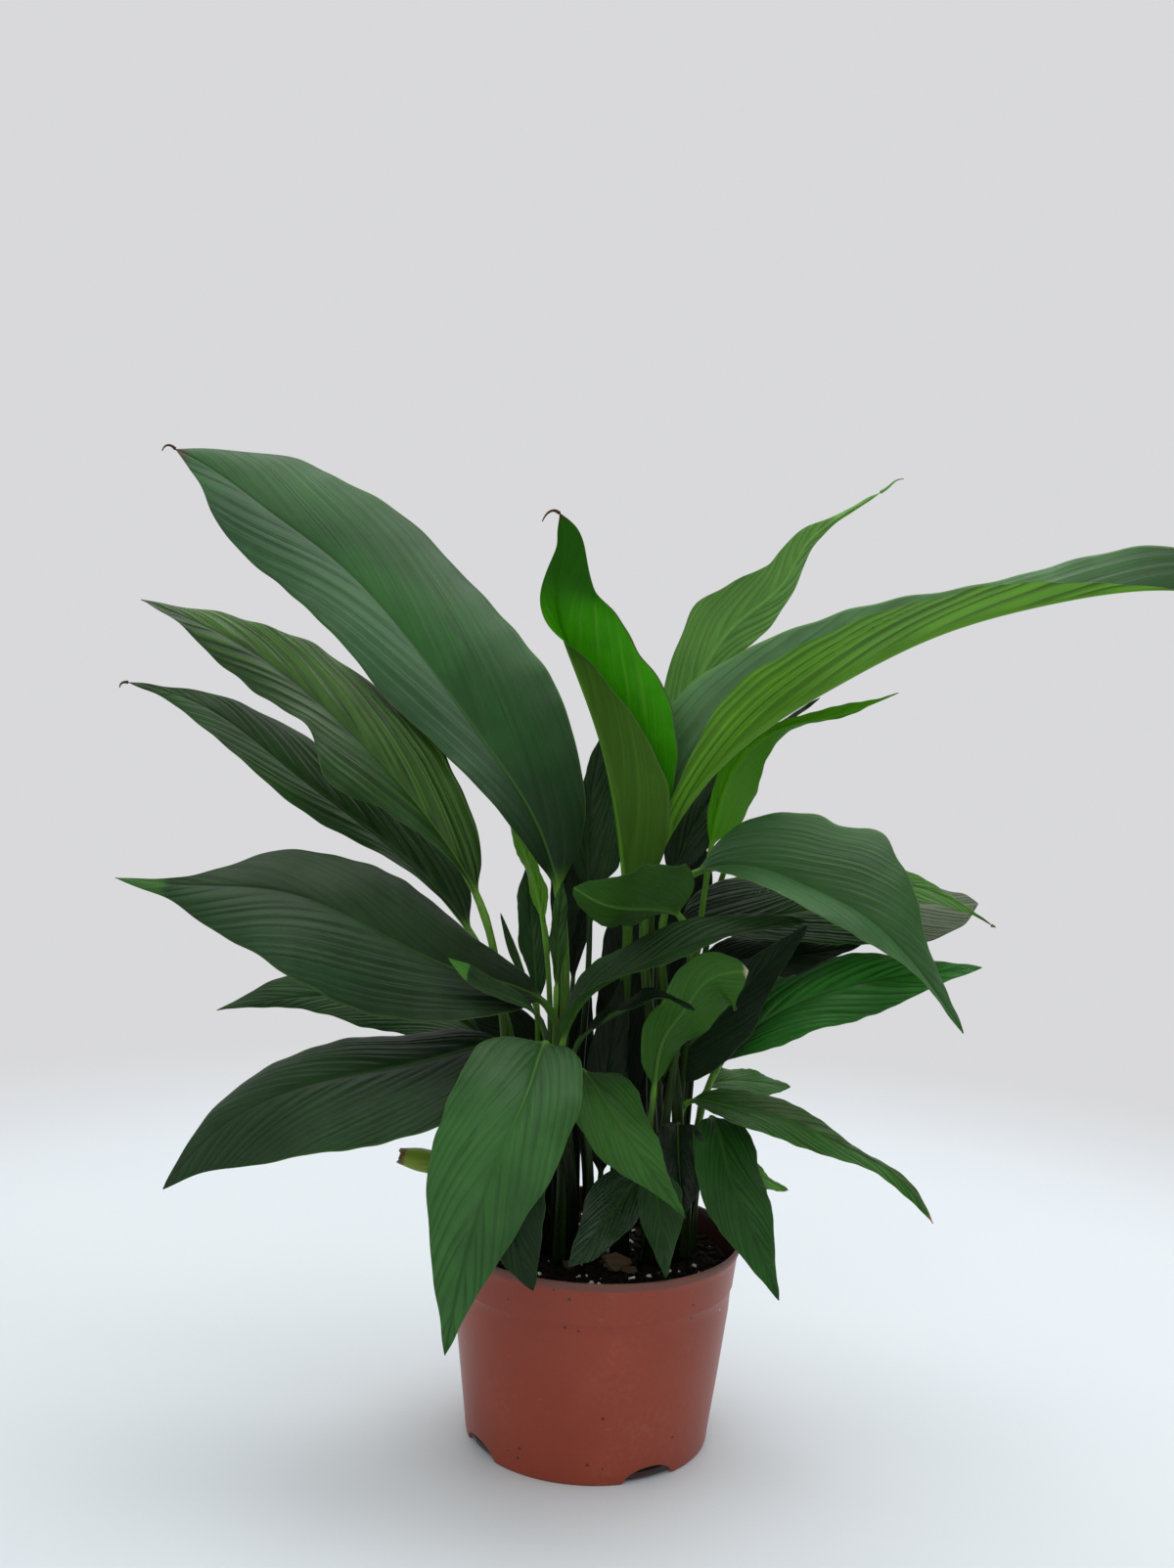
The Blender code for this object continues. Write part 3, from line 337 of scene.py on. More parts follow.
def spline(points, count=300):
    """A natural cubic curve through the points, and the length along it."""
    p = np.asarray(points, float)
    k = len(p)
    h = np.linalg.norm(np.diff(p, axis=0), axis=1)
    t = np.concatenate([[0], np.cumsum(h)])
    a, r = np.eye(k), np.zeros((k, 3))
    for i in range(1, k - 1):
        a[i, i - 1:i + 2] = h[i - 1], 2 * (h[i - 1] + h[i]), h[i]
        r[i] = 6 * ((p[i + 1] - p[i]) / h[i] - (p[i] - p[i - 1]) / h[i - 1])
    m = np.linalg.solve(a, r)
    q = np.linspace(0, t[-1], count)
    i = np.clip(np.searchsorted(t, q, side="right") - 1, 0, k - 2)
    u, v, w = (t[i + 1] - q)[:, None], (q - t[i])[:, None], h[i][:, None]
    line = (m[i] * u**3 + m[i + 1] * v**3) / (6 * w)
    line += (p[i] / w - m[i] * w / 6) * u + (p[i + 1] / w - m[i + 1] * w / 6) * v
    length = np.concatenate([[0], np.cumsum(np.linalg.norm(np.diff(line, axis=0), axis=1))])
    return line, length


def along(line, length, s):
    return np.stack([np.interp(s, length, line[:, i]) for i in range(3)], -1)


def centre_line(item):
    """Foot, stalk and midrib as one curve, and where on it the blade begins."""
    foot = (*item["stem"][0], SOIL_TOP + SEAT_GAP)
    points = [foot, *item["stem"][1:], *item["rib"]]
    line, length = spline(points)
    knee = np.asarray(item["rib"][0], float)
    start = length[np.argmin(np.linalg.norm(line - knee, axis=1))]
    return line, length, start


def half_width(item, side, v):
    given = item["left"] if side < 0 else item["right"]
    return ease(STATIONS, (0, *given, 0), v)


def smooth(low, high, x):
    """0 below low, 1 above high, and an S curve between."""
    t = np.clip((x - low) / (high - low), 0, 1)
    return t * t * (3 - 2 * t)


def frames(item, line, length, s, v):
    """Centre, right and up along the whole leaf: the tangent crossed with the way its face looks."""
    centre = along(line, length, s)
    ahead = along(line, length, np.clip(s + 0.8, 0, length[-1]))
    behind = along(line, length, np.clip(s - 0.8, 0, length[-1]))
    forward = unit(ahead - behind)
    upright = (1 - smooth(0, 14, s))[:, None]
    forward = unit(forward * (1 - upright) + np.array([0, 0, 1]) * upright)
    right = unit(np.cross(forward, unit(spread(item["face"], np.clip(v, 0, 1)))))
    return centre, right, np.cross(right, forward)


def corrugation(item, along_mm, out_mm, side_share):
    """How far along the midrib, in rib spacings, the side vein through each point left it. Veins leave
    at a small angle and bend towards the tip, so a point's vein started lower by its run, which grows
    with the square of the way out. The spacing itself swells and shrinks slowly."""
    run = out_mm * (item["sweep"] + 1.6 * side_share)
    even = (along_mm - run) / item["pitch"] + 0.37 * len(item["name"])
    return even + 0.16 * np.sin(2.1 * even + 0.5) + 0.08 * np.sin(4.7 * even + 1.9)


def outline(item, side, v, turns, phase):
    """Share of the half width that stays: small uneven scallops, lobes and notches of the leaf's own, and
    a waist before the drawn-out tip."""
    scallop = 0.016 * np.sin(2 * np.pi * (2.3 * turns * v + phase + 0.3 * side))
    scallop = scallop + 0.01 * np.sin(2 * np.pi * (4.1 * turns * v + 2 * phase + 0.7 * side))
    scallop = scallop * item["scallop"]
    for half, place, more, spread_out in item["lobes"]:
        scallop = scallop + (half == side) * more * np.exp(-(((v - place) / spread_out) ** 2))
    middle, depth, reach = item["waist"]
    return (1 + scallop) * (1 - depth * np.exp(-(((v - middle) / reach) ** 2)))


def around(count):
    """Angles of a ring's points, from the left over the top, the right and under."""
    return np.pi - 2 * np.pi * (np.arange(count) + 0.5) / count


def thread_rings(item, last, right, up, count):
    """The dry thread past the tip: small circles along its points, thinning to its end."""
    steps = np.cumsum(np.concatenate([[(0, 0, 0)], item["thread"]]), axis=0)
    line, length = spline(last + steps)
    s = np.linspace(0.4, length[-1], 12)
    centre = along(line, length, s)
    turn = around(count)
    radius = np.linspace(0.8, 0.22, 12)[:, None, None]
    forward = unit(np.gradient(centre, axis=0))
    side = unit(right - forward * np.sum(forward * right, axis=1, keepdims=True) + 1e-4 * up)
    over = np.cross(side, forward)
    circle = np.cos(turn)[:, None] * side[:, None] + np.sin(turn)[:, None] * over[:, None]
    return centre[:, None] + radius * circle


def open_halves(item, v, share, half):
    """Both halves of a blade laid out from its midrib: how far across and up each point lies, how far out
    along the surface, and its share of the half width. Each half folds up and curls, with a ripple and a
    finer flutter that grow towards its margin."""
    height, turns, phase = item["wave"]
    swell = np.sqrt(np.sin(np.pi * v).clip(0))
    t = np.abs(share[half:])
    zero = np.zeros((len(v), 1))
    sides = []
    for side in (-1, 1):
        fold = item["fold_left"] if side < 0 else item["fold"]
        curl = item["curl_left"] if side < 0 else item["curl"]
        wide = half_width(item, side, v) * outline(item, side, v, turns, phase)
        angle = np.radians(spread(fold, v)[:, None] + spread(curl, v)[:, None] * (t[1:] + t[:-1]) / 2)
        part = wide[:, None] * np.diff(t)[None]
        x = np.concatenate([zero, np.cumsum(np.cos(angle) * part, axis=1)], axis=1)
        z = np.concatenate([zero, np.cumsum(np.sin(angle) * part, axis=1)], axis=1)
        z += (height * np.sin(2 * np.pi * (turns * v + phase + 0.27 * side)) * swell)[:, None] * t**2
        flutter = np.sin(2 * np.pi * (5.3 * turns * v + 3.1 * phase + 0.4 * side))
        z += (0.16 * height * flutter * swell)[:, None] * t**4
        columns = (side * x, z, wide[:, None] * t, np.broadcast_to(t, x.shape))
        sides.append([a[:, ::side] for a in columns])
    return (np.concatenate([a[:, :-1], b], axis=1) for a, b in zip(*sides))


def blade_sheet(item, v, share, half, span, middle, sideways, upward):
    """A blade's surface with its side veins pressed in, the way it looks at each point, the count of
    veins there, how far out the point lies and its share of the half width."""
    across, lift, out, place = open_halves(item, v, share, half)
    sheet = middle[:, None] + across[..., None] * sideways[:, None] + lift[..., None] * upward[:, None]
    normal = np.cross(np.gradient(sheet, axis=1), np.gradient(sheet, axis=0))
    weak = np.linalg.norm(normal, axis=-1, keepdims=True) < 1e-9
    normal = unit(np.where(weak, upward[:, None], normal))
    veins = corrugation(item, span * v[:, None], out, place)
    crest = np.sin(np.pi * veins) ** 2
    depth = 0.65 + 0.35 * np.sin(1.3 * veins + 0.7)
    reach = smooth(0.0, 0.3, place) * (1 - smooth(0.65, 0.98, place)) * (1 - smooth(0.75, 1, v))[:, None]
    strong = item["relief"] * np.where(share < 0, *item["ribs"])
    return sheet + normal * ((crest - 0.5) * depth * strong * reach)[..., None], normal, veins, out, place


def blade_rings(item, v, sheet, normal, out, place):
    """Rings round a blade: its upper face with a groove over the midrib, then its underside with the
    midrib's round keel."""
    rib = item["stalk"] * 0.85 * (1 - 0.9 * v[:, None]) ** 0.9
    keel = rib * np.sqrt(np.clip(1 - (out / np.maximum(rib, 1e-6)) ** 2, 0, 1))
    groove = 0.28 * rib * np.exp(-((out / (0.55 * rib + 0.25)) ** 2))
    thin = HALF_SKIN * (1 - 0.6 * place)
    top = sheet + normal * (thin - groove)[..., None]
    under = sheet - normal * (thin + keel)[..., None]
    return np.concatenate([top, under[:, ::-1]], axis=1)


def stalk_circles(item, centre, right, up, rise, blade_v, count):
    """Circles along the whole leaf: widened and hollowed on its face towards the foot, swollen at the knee
    under the blade, and thinning along the blade."""
    turn = around(count)
    knee = np.exp(-(((rise - 0.97) / 0.035) ** 2)) * (blade_v < 0.02)
    radius = item["stalk"] * (1.3 - 0.5 * rise + 0.16 * knee) * (1 - 0.75 * blade_v)
    hollow = 0.55 * (1 - smooth(0.15, 0.75, rise))
    wide = 1 + 0.35 * (1 - smooth(0.05, 0.6, rise))
    x, z = np.cos(turn), np.sin(turn)
    z = np.where(z > 0, z * (1 - hollow[:, None] * (1 + 0.6 * np.cos(np.pi * x))), z)
    rings = centre[:, None] + (radius * wide)[:, None, None] * x[..., None] * right[:, None]
    return rings + radius[:, None, None] * z[..., None] * up[:, None]


def leaf_rings(item, stalk_rows, blade_rows, half):
    """One closed skin from foot to tip, and its marks for the materials. Each ring of the stalk is a circle
    and each ring of the blade runs round a thin ribbed sheet. The two shapes are mixed over the first
    part of the blade, and a dry thread follows the tip where the leaf has one."""
    line, length, start = centre_line(item)
    span = length[-1] - start
    q = np.linspace(-1, 1, 2 * half + 1)
    share = np.sign(q) * np.abs(q) ** 1.35
    v = 0.5 - 0.5 * np.cos(np.pi * np.linspace(0, 1, blade_rows) ** 0.9)
    v = 0.35 * v + 0.65 * np.linspace(0, 1, blade_rows)
    v = np.clip(v, 0.002, 0.9985)
    s = np.concatenate([np.linspace(0, start, stalk_rows + 1)[:-1], start + span * v])
    rise = np.concatenate([np.linspace(0, 1, stalk_rows + 1)[:-1], np.ones(blade_rows)])
    blade_v = np.concatenate([np.zeros(stalk_rows), v])
    centre, right, up = frames(item, line, length, s, blade_v)

    blade_part = (a[stalk_rows:] for a in (centre, right, up))
    sheet, normal, veins, out, place = blade_sheet(item, v, share, half, span, *blade_part)
    blade = blade_rings(item, v, sheet, normal, out, place)
    count = 4 * half + 2
    rings = stalk_circles(item, centre, right, up, rise, blade_v, count)
    mix = smooth(0.0, 0.075, v)[:, None, None]
    rings[stalk_rows:] = rings[stalk_rows:] * (1 - mix) + blade * mix
    extra = 0
    if item["thread"]:
        thread = thread_rings(item, centre[-1], right[-1], up[-1], count)
        rings = np.concatenate([rings, thread])
        extra = len(thread)

    def both(a):
        a = np.broadcast_to(a, (len(v), 2 * half + 1))
        full = np.concatenate([a, a[:, ::-1]], axis=1)
        foot = np.zeros((stalk_rows, count))
        return np.concatenate([foot, full, np.repeat(full[-1:], extra, axis=0)])

    def by_row(*values):
        return np.broadcast_to(np.concatenate(values)[:, None], rings.shape[:2])

    marks = {
        "vein": both(veins),
        "side": both(share),
        "run": both(v[:, None]),
        "out": both(out),
        "under": np.broadcast_to(np.repeat((0.0, 1.0), 2 * half + 1), rings.shape[:2]),
        "stem": by_row(np.ones(stalk_rows), 1 - smooth(0, 0.06, v), np.zeros(extra)),
        "rise": by_row(rise[:stalk_rows], np.ones(blade_rows + extra)),
    }
    return rings, marks


def closed_skin(name, rings):
    """A mesh from rings of points in millimetres: neighbours joined by four-sided faces, both ends
    capped, and all faces turned outwards by the sign of the volume that they enclose."""
    rows, cols = rings.shape[:2]
    i, j = np.arange(rows - 1)[:, None], np.arange(cols)[None]
    nxt = (j + 1) % cols
    here, ahead = i * cols, (i + 1) * cols
    faces = np.stack([here + j, here + nxt, ahead + nxt, ahead + j], -1).reshape(-1, 4)
    points = rings.reshape(-1, 3) * MM
    a, b, c, d = (points[faces[:, k]] for k in range(4))
    volume = np.sum(np.cross(a, b) * c) + np.sum(np.cross(a, c) * d)
    low, high = list(range(cols))[::-1], list(range((rows - 1) * cols, rows * cols))
    if volume < 0:
        faces, low, high = faces[:, ::-1], low[::-1], high[::-1]
    mesh = bpy.data.meshes.new(name)
    mesh.from_pydata(points.tolist(), [], faces.tolist() + [low, high])
    mesh.polygons.foreach_set("use_smooth", np.ones(len(mesh.polygons), bool))
    mesh.update()
    return mesh


def paint(mesh, name, *values):
    """Keeps three numbers at each point, or one number three times, for the materials to read."""
    if len(values) == 1:
        values = values * 3
    layer = mesh.attributes.new(name, "FLOAT_VECTOR", "POINT")
    rows = np.stack([np.asarray(a, float).ravel() for a in values], -1)
    layer.data.foreach_set("vector", rows.astype(np.float32).ravel())


def add_piece(name, mesh, material, slot, *nodes):
    """Puts a finished mesh into the scene as a piece of the plant that stands for its solids."""
    piece = bpy.data.objects.new(name, mesh)
    bpy.context.scene.collection.objects.link(piece)
    mesh.materials.append(material)
    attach(piece, "root")
    if nodes:
        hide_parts(*nodes)
    return piece


SOLID_LEAVES = {item["name"] for item in LEAVES}
# four near-black leaves deep inside the clumps, behind all the others, which only the scene has;
# their dark green is painted shade
shaded("inner_left", [(-12, 40), (-11, 44, 150)], [(-14, 44, 194), (-11, 46, 222), (-7, 48, 250),
       (-5, 48, 286)], (6, 9, 11, 11, 9, 6, 3), 1.3, wave=(0.4, 1.5, 0))
shaded("inner_right", [(22, 42), (26, 46, 130)], [(29, 47, 172), (33, 48, 206), (38, 48, 240),
       (43, 47, 270)], (7, 11, 13, 13, 12, 8, 4), 1.5, wave=(0.4, 1.5, 0))
shaded("inner_low", [(15, 38), (17, 42, 95)], [(18, 43, 108), (20, 44, 140), (22, 44, 176)],
       (3, 4, 5, 5, 4, 3, 2), 1.2, wave=(0.4, 1.5, 0))
leaf("inner_side", [(-19, 22), (-17, 24, 130)],
     [(-19, 24, 150), (-31, 22, 166), (-46, 19, 178), (-62, 16, 187)],
     [(0.2, -0.9, 0.3), (0.1, -0.9, 0.4), (0.1, -0.9, 0.4)],
     (7, 10, 11, 11, 9, 6, 3), (7, 10, 11, 11, 9, 6, 3),
     (20, 15, 8), (-10, -20, -10), stalk=1.3, fine=0, wave=(0.4, 1.5, 0))


def tube_rings(points, radii, turns, steps):
    """Rings round a smooth path: circles square to the path, with a radius read along it. Each ring's
    share of the path comes with them."""
    line, length = spline(points)
    s = np.linspace(0, length[-1], steps)
    centre = along(line, length, s)
    forward = unit(np.gradient(centre, axis=0))
    right = unit(np.cross(forward, (0.0, 1.0, 0.0)))
    up = np.cross(right, forward)
    angle = 2 * np.pi * np.arange(turns) / turns
    share = s / length[-1]
    radius = spread(radii, share)[:, None, None]
    circle = np.cos(angle)[:, None] * right[:, None] + np.sin(angle)[:, None] * up[:, None]
    return centre[:, None] + radius * circle, share


class Wiring:
    """Short ways to put nodes into one tree and to join them."""

    def __init__(self, tree):
        self.tree = tree

    def feed(self, socket, value):
        if isinstance(value, bpy.types.NodeSocket):
            self.tree.links.new(value, socket)
        elif socket.type == "RGBA":
            socket.default_value = (*value[:3], 1)
        else:
            socket.default_value = value

    def put(self, kind, inputs=(), **settings):
        node = self.tree.nodes.new(kind)
        for key, value in settings.items():
            setattr(node, key, value)
        for key, value in dict(inputs).items():
            self.feed(node.inputs[key], value)
        return node

    def math(self, operation, *values, clamp=False):
        node = self.put("ShaderNodeMath", operation=operation, use_clamp=clamp)
        for socket, value in zip(node.inputs, values):
            self.feed(socket, value)
        return node.outputs[0]

    def times(self, first, second):
        return self.math("MULTIPLY", first, second)

    def scaled(self, value, factor, plus, clamp=False):
        return self.math("MULTIPLY_ADD", value, factor, plus, clamp=clamp)

    def rest(self, value):
        """What is left of 1."""
        return self.math("SUBTRACT", 1, value)

    def grey(self, value):
        return self.put("ShaderNodeCombineXYZ", {0: value, 1: value, 2: value}).outputs[0]

    def step(self, low, high, value):
        """0 below low, 1 above high, and an S curve between."""
        node = self.put("ShaderNodeMapRange", interpolation_type="SMOOTHSTEP")
        for socket, number in zip(node.inputs, (value, low, high, 0, 1)):
            self.feed(socket, number)
        return node.outputs[0]

    def mix(self, share, first, second, blend="MIX"):
        node = self.put("ShaderNodeMix", data_type="RGBA", blend_type=blend)
        self.feed(node.inputs[0], share)
        self.feed(node.inputs[6], first)
        self.feed(node.inputs[7], second)
        return node.outputs[2]

    def noise(self, vector, scale, detail=3.0, rough=0.55):
        inputs = {"Vector": vector, "Scale": scale, "Detail": detail, "Roughness": rough}
        return self.put("ShaderNodeTexNoise", inputs).outputs[0]

    def parts(self, vector):
        return self.put("ShaderNodeSeparateXYZ", {"Vector": vector}).outputs

    def stretched(self, vector, scale):
        return self.put("ShaderNodeMapping", {"Vector": vector, "Scale": scale}).outputs[0]

    def attribute(self, name):
        return self.put("ShaderNodeAttribute", attribute_name=name).outputs["Vector"]

    def group(self, tree, **inputs):
        node = self.put("ShaderNodeGroup", node_tree=tree)
        for key, value in inputs.items():
            self.feed(node.inputs[key], value)
        return node.outputs


def new_group(name, inputs, outputs):
    """An empty node group with its named sockets. Each socket is (name, kind, value)."""
    tree = bpy.data.node_groups.new(name, "ShaderNodeTree")
    for label, kind, value in inputs:
        socket = tree.interface.new_socket(label, in_out="INPUT", socket_type="NodeSocket" + kind)
        if value is not None:
            socket.default_value = value
    for label, kind in outputs:
        tree.interface.new_socket(label, in_out="OUTPUT", socket_type="NodeSocket" + kind)
    w = Wiring(tree)
    return tree, w, w.put("NodeGroupInput").outputs, w.put("NodeGroupOutput").inputs


VEIN_MASKS = ("Groove", "Crest", "Band", "Fine", "Midrib", "Margin", "PaintedPleatLight", "Streak")


def make_veins():
    """Masks of one blade: sunken side veins, the crests between them, soft bands along the veins, fine
    veins, midrib, margin, the painted light and shade across each pleat, and short streaks."""
    tree, w, given, out = new_group(
        "leaf veins",
        [("Place", "Vector", None), ("Form", "Vector", None)],
        [(mask, "Float") for mask in VEIN_MASKS],
    )
    vein, side, run = w.parts(given["Place"])
    off, _, _ = w.parts(given["Form"])
    share = w.math("ABSOLUTE", side)
    half = w.times(w.math("SIGN", side), 5.0)
    along = w.put("ShaderNodeCombineXYZ", {0: vein, 1: w.times(run, 2.2), 2: half}).outputs[0]
    band = w.noise(w.stretched(along, (1.7, 1.0, 1.0)), 1.0, 2.0, 0.5)
    streak = w.noise(w.stretched(along, (6.5, 1.3, 1.0)), 1.0, 3.0, 0.6)
    wave = w.math("ABSOLUTE", w.math("SINE", w.times(vein, np.pi)))
    inner = w.step(0.01, 0.2, share)
    outer = w.rest(w.times(w.step(0.7, 1, share), 0.7))
    reach = w.times(inner, outer)
    deep = w.times(reach, w.step(0.3, 0.62, band))
    groove = w.math("POWER", w.rest(wave), 3.5)
    w.feed(out["Groove"], w.times(groove, deep))
    w.feed(out["Crest"], w.times(w.math("POWER", wave, 1.6), deep))
    w.feed(out["Band"], band)
    w.feed(out["Fine"], w.times(w.step(0.42, 0.66, streak), inner))
    w.feed(out["Midrib"], w.rest(w.step(0.2, 1.1, off)))
    w.feed(out["Margin"], w.step(0.965, 0.992, share))
    # painted light and shade across each pleat: darkest in the fold, lighter up the rise to the next fold
    saw = w.math("FRACT", vein)
    rising = w.math("SUBTRACT", w.step(0.0, 0.7, saw), w.step(0.9, 1.0, saw))
    centred = w.math("SUBTRACT", rising, 0.55)
    w.feed(out["PaintedPleatLight"], w.times(centred, w.scaled(w.step(0.3, 0.6, band), 0.5, 0.5)))
    short = w.noise(w.stretched(along, (3.1, 3.5, 1.0)), 1.0, 1.0, 0.4)
    near = w.rest(w.step(0.45, 0.8, share))
    w.feed(out["Streak"], w.times(w.step(0.66, 0.72, short), w.times(near, inner)))
    return tree


def make_specks():
    """Small round spots: cells whose own number is high enough keep a spot at their middle."""
    tree, w, given, out = new_group(
        "specks",
        [("Vector", "Vector", None), ("Cells", "Float", 90.0), ("Radius", "Float", 0.05),
         ("Share", "Float", 0.2)],
        [("Mask", "Float")],
    )
    cells = w.put("ShaderNodeTexVoronoi", {"Vector": given["Vector"], "Scale": given["Cells"]})
    far = w.math("DIVIDE", cells.outputs["Distance"], given["Radius"])
    kept = w.math("LESS_THAN", w.parts(cells.outputs["Color"])[0], given["Share"])
    w.feed(out["Mask"], w.times(w.rest(w.step(0.7, 1.1, far)), kept))
    return tree


def make_film():
    """A thin uneven film, such as dust or dried water, as a mask."""
    tree, w, given, out = new_group(
        "film",
        [("Vector", "Vector", None), ("Size", "Float", 60.0), ("Bias", "Float", 0.5)],
        [("Mask", "Float"), ("Grain", "Float")],
    )
    broad = w.noise(given["Vector"], given["Size"], 4, 0.6)
    fine = w.noise(given["Vector"], w.times(given["Size"], 22), 2, 0.6)
    w.feed(out["Mask"], w.times(w.step(given["Bias"], 0.85, broad), w.step(0.35, 0.75, fine)))
    w.feed(out["Grain"], fine)
    return tree


VEINS = make_veins()
SPECKS = make_specks()
FILM = make_film()


def dim(colour, share):
    return tuple(np.asarray(colour) * share)


def coat(w, shader, colour, rough, shine, strength, distance, height):
    """Joins a colour, a roughness and a relief to the shader, and sets how strongly it mirrors."""
    w.feed(shader.inputs["Base Color"], colour)
    w.feed(shader.inputs["Roughness"], rough)
    shader.inputs["Specular IOR Level"].default_value = shine
    bump = w.put("ShaderNodeBump", {"Strength": strength, "Distance": distance, "Height": height})
    w.feed(shader.inputs["Normal"], bump.outputs[0])


def new_material(name):
    material = bpy.data.materials.new(name)
    material.use_nodes = True
    w = Wiring(material.node_tree)
    shader = material.node_tree.nodes["Principled BSDF"]
    where = w.put("ShaderNodeTexCoord").outputs["Object"]
    return material, w, shader, where


def upper_face(w, veins, patches, side, run, top, left, vein, groove, crest, fade):
    """The upper face: patches of two greens, darker along its grooves and streaks, paler on its crests and
    darker near its base. The grooves are partly the veins' own darker green and partly painted shade, the
    paler crests are a painted highlight, and the darker base is painted shade (near the tip instead on a
    few leaves). Its left half may have a green of its own, which on tall_left and long_right is a painted
    sheen."""
    upper = w.mix(patches, dim(top, 0.76), dim(top, 1.2))
    if left:
        upper = w.mix(w.step(-0.03, 0.03, side), w.mix(patches, dim(left, 0.78), dim(left, 1.18)), upper)
    # the grooves and soft bands: partly the veins' own darker green, partly painted shade sunk into them
    soft = w.times(w.step(0.35, 0.65, veins["Band"]), groove)
    upper = w.mix(soft, upper, w.mix(1.0, upper, (0.62, 0.64, 0.62), "MULTIPLY"))
    upper = w.mix(w.times(veins["Groove"], 0.9 if vein else groove), upper, vein or dim(top, 0.28))
    upper = w.mix(w.times(veins["Fine"], groove * 0.25), upper, dim(top, 0.6))
    upper = w.mix(w.times(veins["Streak"], 0.45), upper, dim(top, 0.35))
    # a painted highlight on the crests between the veins
    pale = tuple(np.asarray(top) * 1.3 + np.array([0.012, 0.016, 0.008]))
    upper = w.mix(w.times(w.math("POWER", veins["Crest"], 3), crest), upper, pale)
    # painted shade along the blade: darker near the base on most leaves, near the tip on rolled_young and
    # long_right
    low, high, share = fade
    return w.mix(w.step(low, high, run), upper, dim(top, share))


def under_face(w, veins, patches, under, groove):
    """The underside: a softer green with its side veins standing out paler."""
    lower = w.mix(patches, dim(under, 0.88), dim(under, 1.1))
    lower = w.mix(w.times(veins["Groove"], groove), lower, dim(under, 1.6))
    lower = w.mix(w.times(veins["Fine"], 0.3), lower, dim(under, 0.7))
    return w.mix(w.times(w.step(0.4, 0.7, veins["Band"]), 0.5), lower, dim(under, 0.72))


def stalk_face(w, strands, rise, stalk):
    """The stalk: fine strands along it, painted shade that makes it almost black at its foot, and
    brighter at the knee.
    """
    colour = w.mix(w.step(0.3, 0.7, strands), dim(stalk, 0.75), dim(stalk, 1.15))
    shade = w.scaled(w.step(0.45, 1.0, rise), 0.88, 0.12)
    colour = w.mix(1.0, colour, w.grey(shade), "MULTIPLY")
    return w.mix(w.step(0.9, 0.99, rise), colour, dim(stalk, 1.25))


def leaf_material(name, top, under, stalk, left=None, rib=None, groove=0.5, crest=0.15, shine=0.13,
                  rough=0.4, tip=None, tip_from=0.985, specks=0.0, dust=0.02, bend=1.0, edge=0.4, vein=None,
                  fade=(0.25, 0.0, 0.5), ribs=(1.0, 1.0)):
    """Waxy green: the upper face, the paler underside and the stalk, with painted light and shade across
    the pleats, then midrib, margin, dry tip, a thin film and white specks."""
    material, w, shader, where = new_material(name)
    place, form = w.attribute("place"), w.attribute("form")
    rise = w.parts(w.attribute("grow"))[0]
    _, side, run = w.parts(place)
    _, below, stem = w.parts(form)
    veins = w.group(VEINS, Place=place, Form=form)
    patches = w.step(0.32, 0.7, w.noise(where, 24, 4, 0.55))
    film = w.group(FILM, Vector=where, Size=45.0, Bias=0.42)

    upper = upper_face(w, veins, patches, side, run, top, left, vein, groove, crest, fade)
    colour = w.mix(below, upper, under_face(w, veins, patches, under, 0.8 if vein else 0.45))
    # how strongly the ribs stand out on each half: the bump's relief and the painted pleat light and shade
    half = w.scaled(w.step(-0.01, 0.01, side), bend * (ribs[1] - ribs[0]), bend * ribs[0])
    reach = w.times(w.step(0.02, 0.25, w.math("ABSOLUTE", side)), half)
    painted_pleat_light = w.scaled(w.times(veins["PaintedPleatLight"], reach), 0.85, 1.0)
    colour = w.mix(1.0, colour, w.grey(painted_pleat_light), "MULTIPLY")
    paler = tuple(np.asarray(under) * 0.45 + np.asarray(top) * 0.55)
    over = w.mix(w.rest(w.step(0.1, 0.75, run)), dim(top, 0.45), rib or paler)
    ridge = w.mix(below, over, rib or dim(under, 1.2))
    colour = w.mix(w.times(veins["Midrib"], 0.55), colour, ridge)
    # a thin pale margin: partly the blade's own pale edge, partly a painted sheen along it
    colour = w.mix(w.times(veins["Margin"], edge), colour, tuple(np.asarray(under) * 0.7 + 0.02))
    if tip:
        ragged = w.scaled(w.noise(where, 160, 3), 0.03, run)
        colour = w.mix(w.step(tip_from, min(tip_from + 0.03, 1.03), ragged), colour, tip)

    strands = w.noise(w.stretched(where, (1, 1, 0.05)), 900, 2, 0.5)
    colour = w.mix(stem, colour, stalk_face(w, strands, rise, stalk))
    colour = w.mix(w.times(film["Mask"], dust), colour, (0.42, 0.42, 0.38))
    if specks:
        spots = w.group(SPECKS, Vector=where, Cells=95.0, Radius=0.062, Share=specks)
        colour = w.mix(spots["Mask"], colour, (0.75, 0.76, 0.7))
    gloss = w.scaled(film["Mask"], 0.25, rough - 0.05)
    gloss = w.scaled(w.math("SUBTRACT", patches, 0.5), 0.08, gloss)
    gloss = w.math("ADD", gloss, w.times(below, 0.14))
    height = w.times(veins["Crest"], half)
    height = w.scaled(veins["Fine"], -0.07, height)
    height = w.scaled(film["Grain"], 0.04, height)
    height = w.scaled(w.times(strands, stem), 0.3, height)
    coat(w, shader, colour, gloss, shine, 0.9, 0.0008, height)
    return material


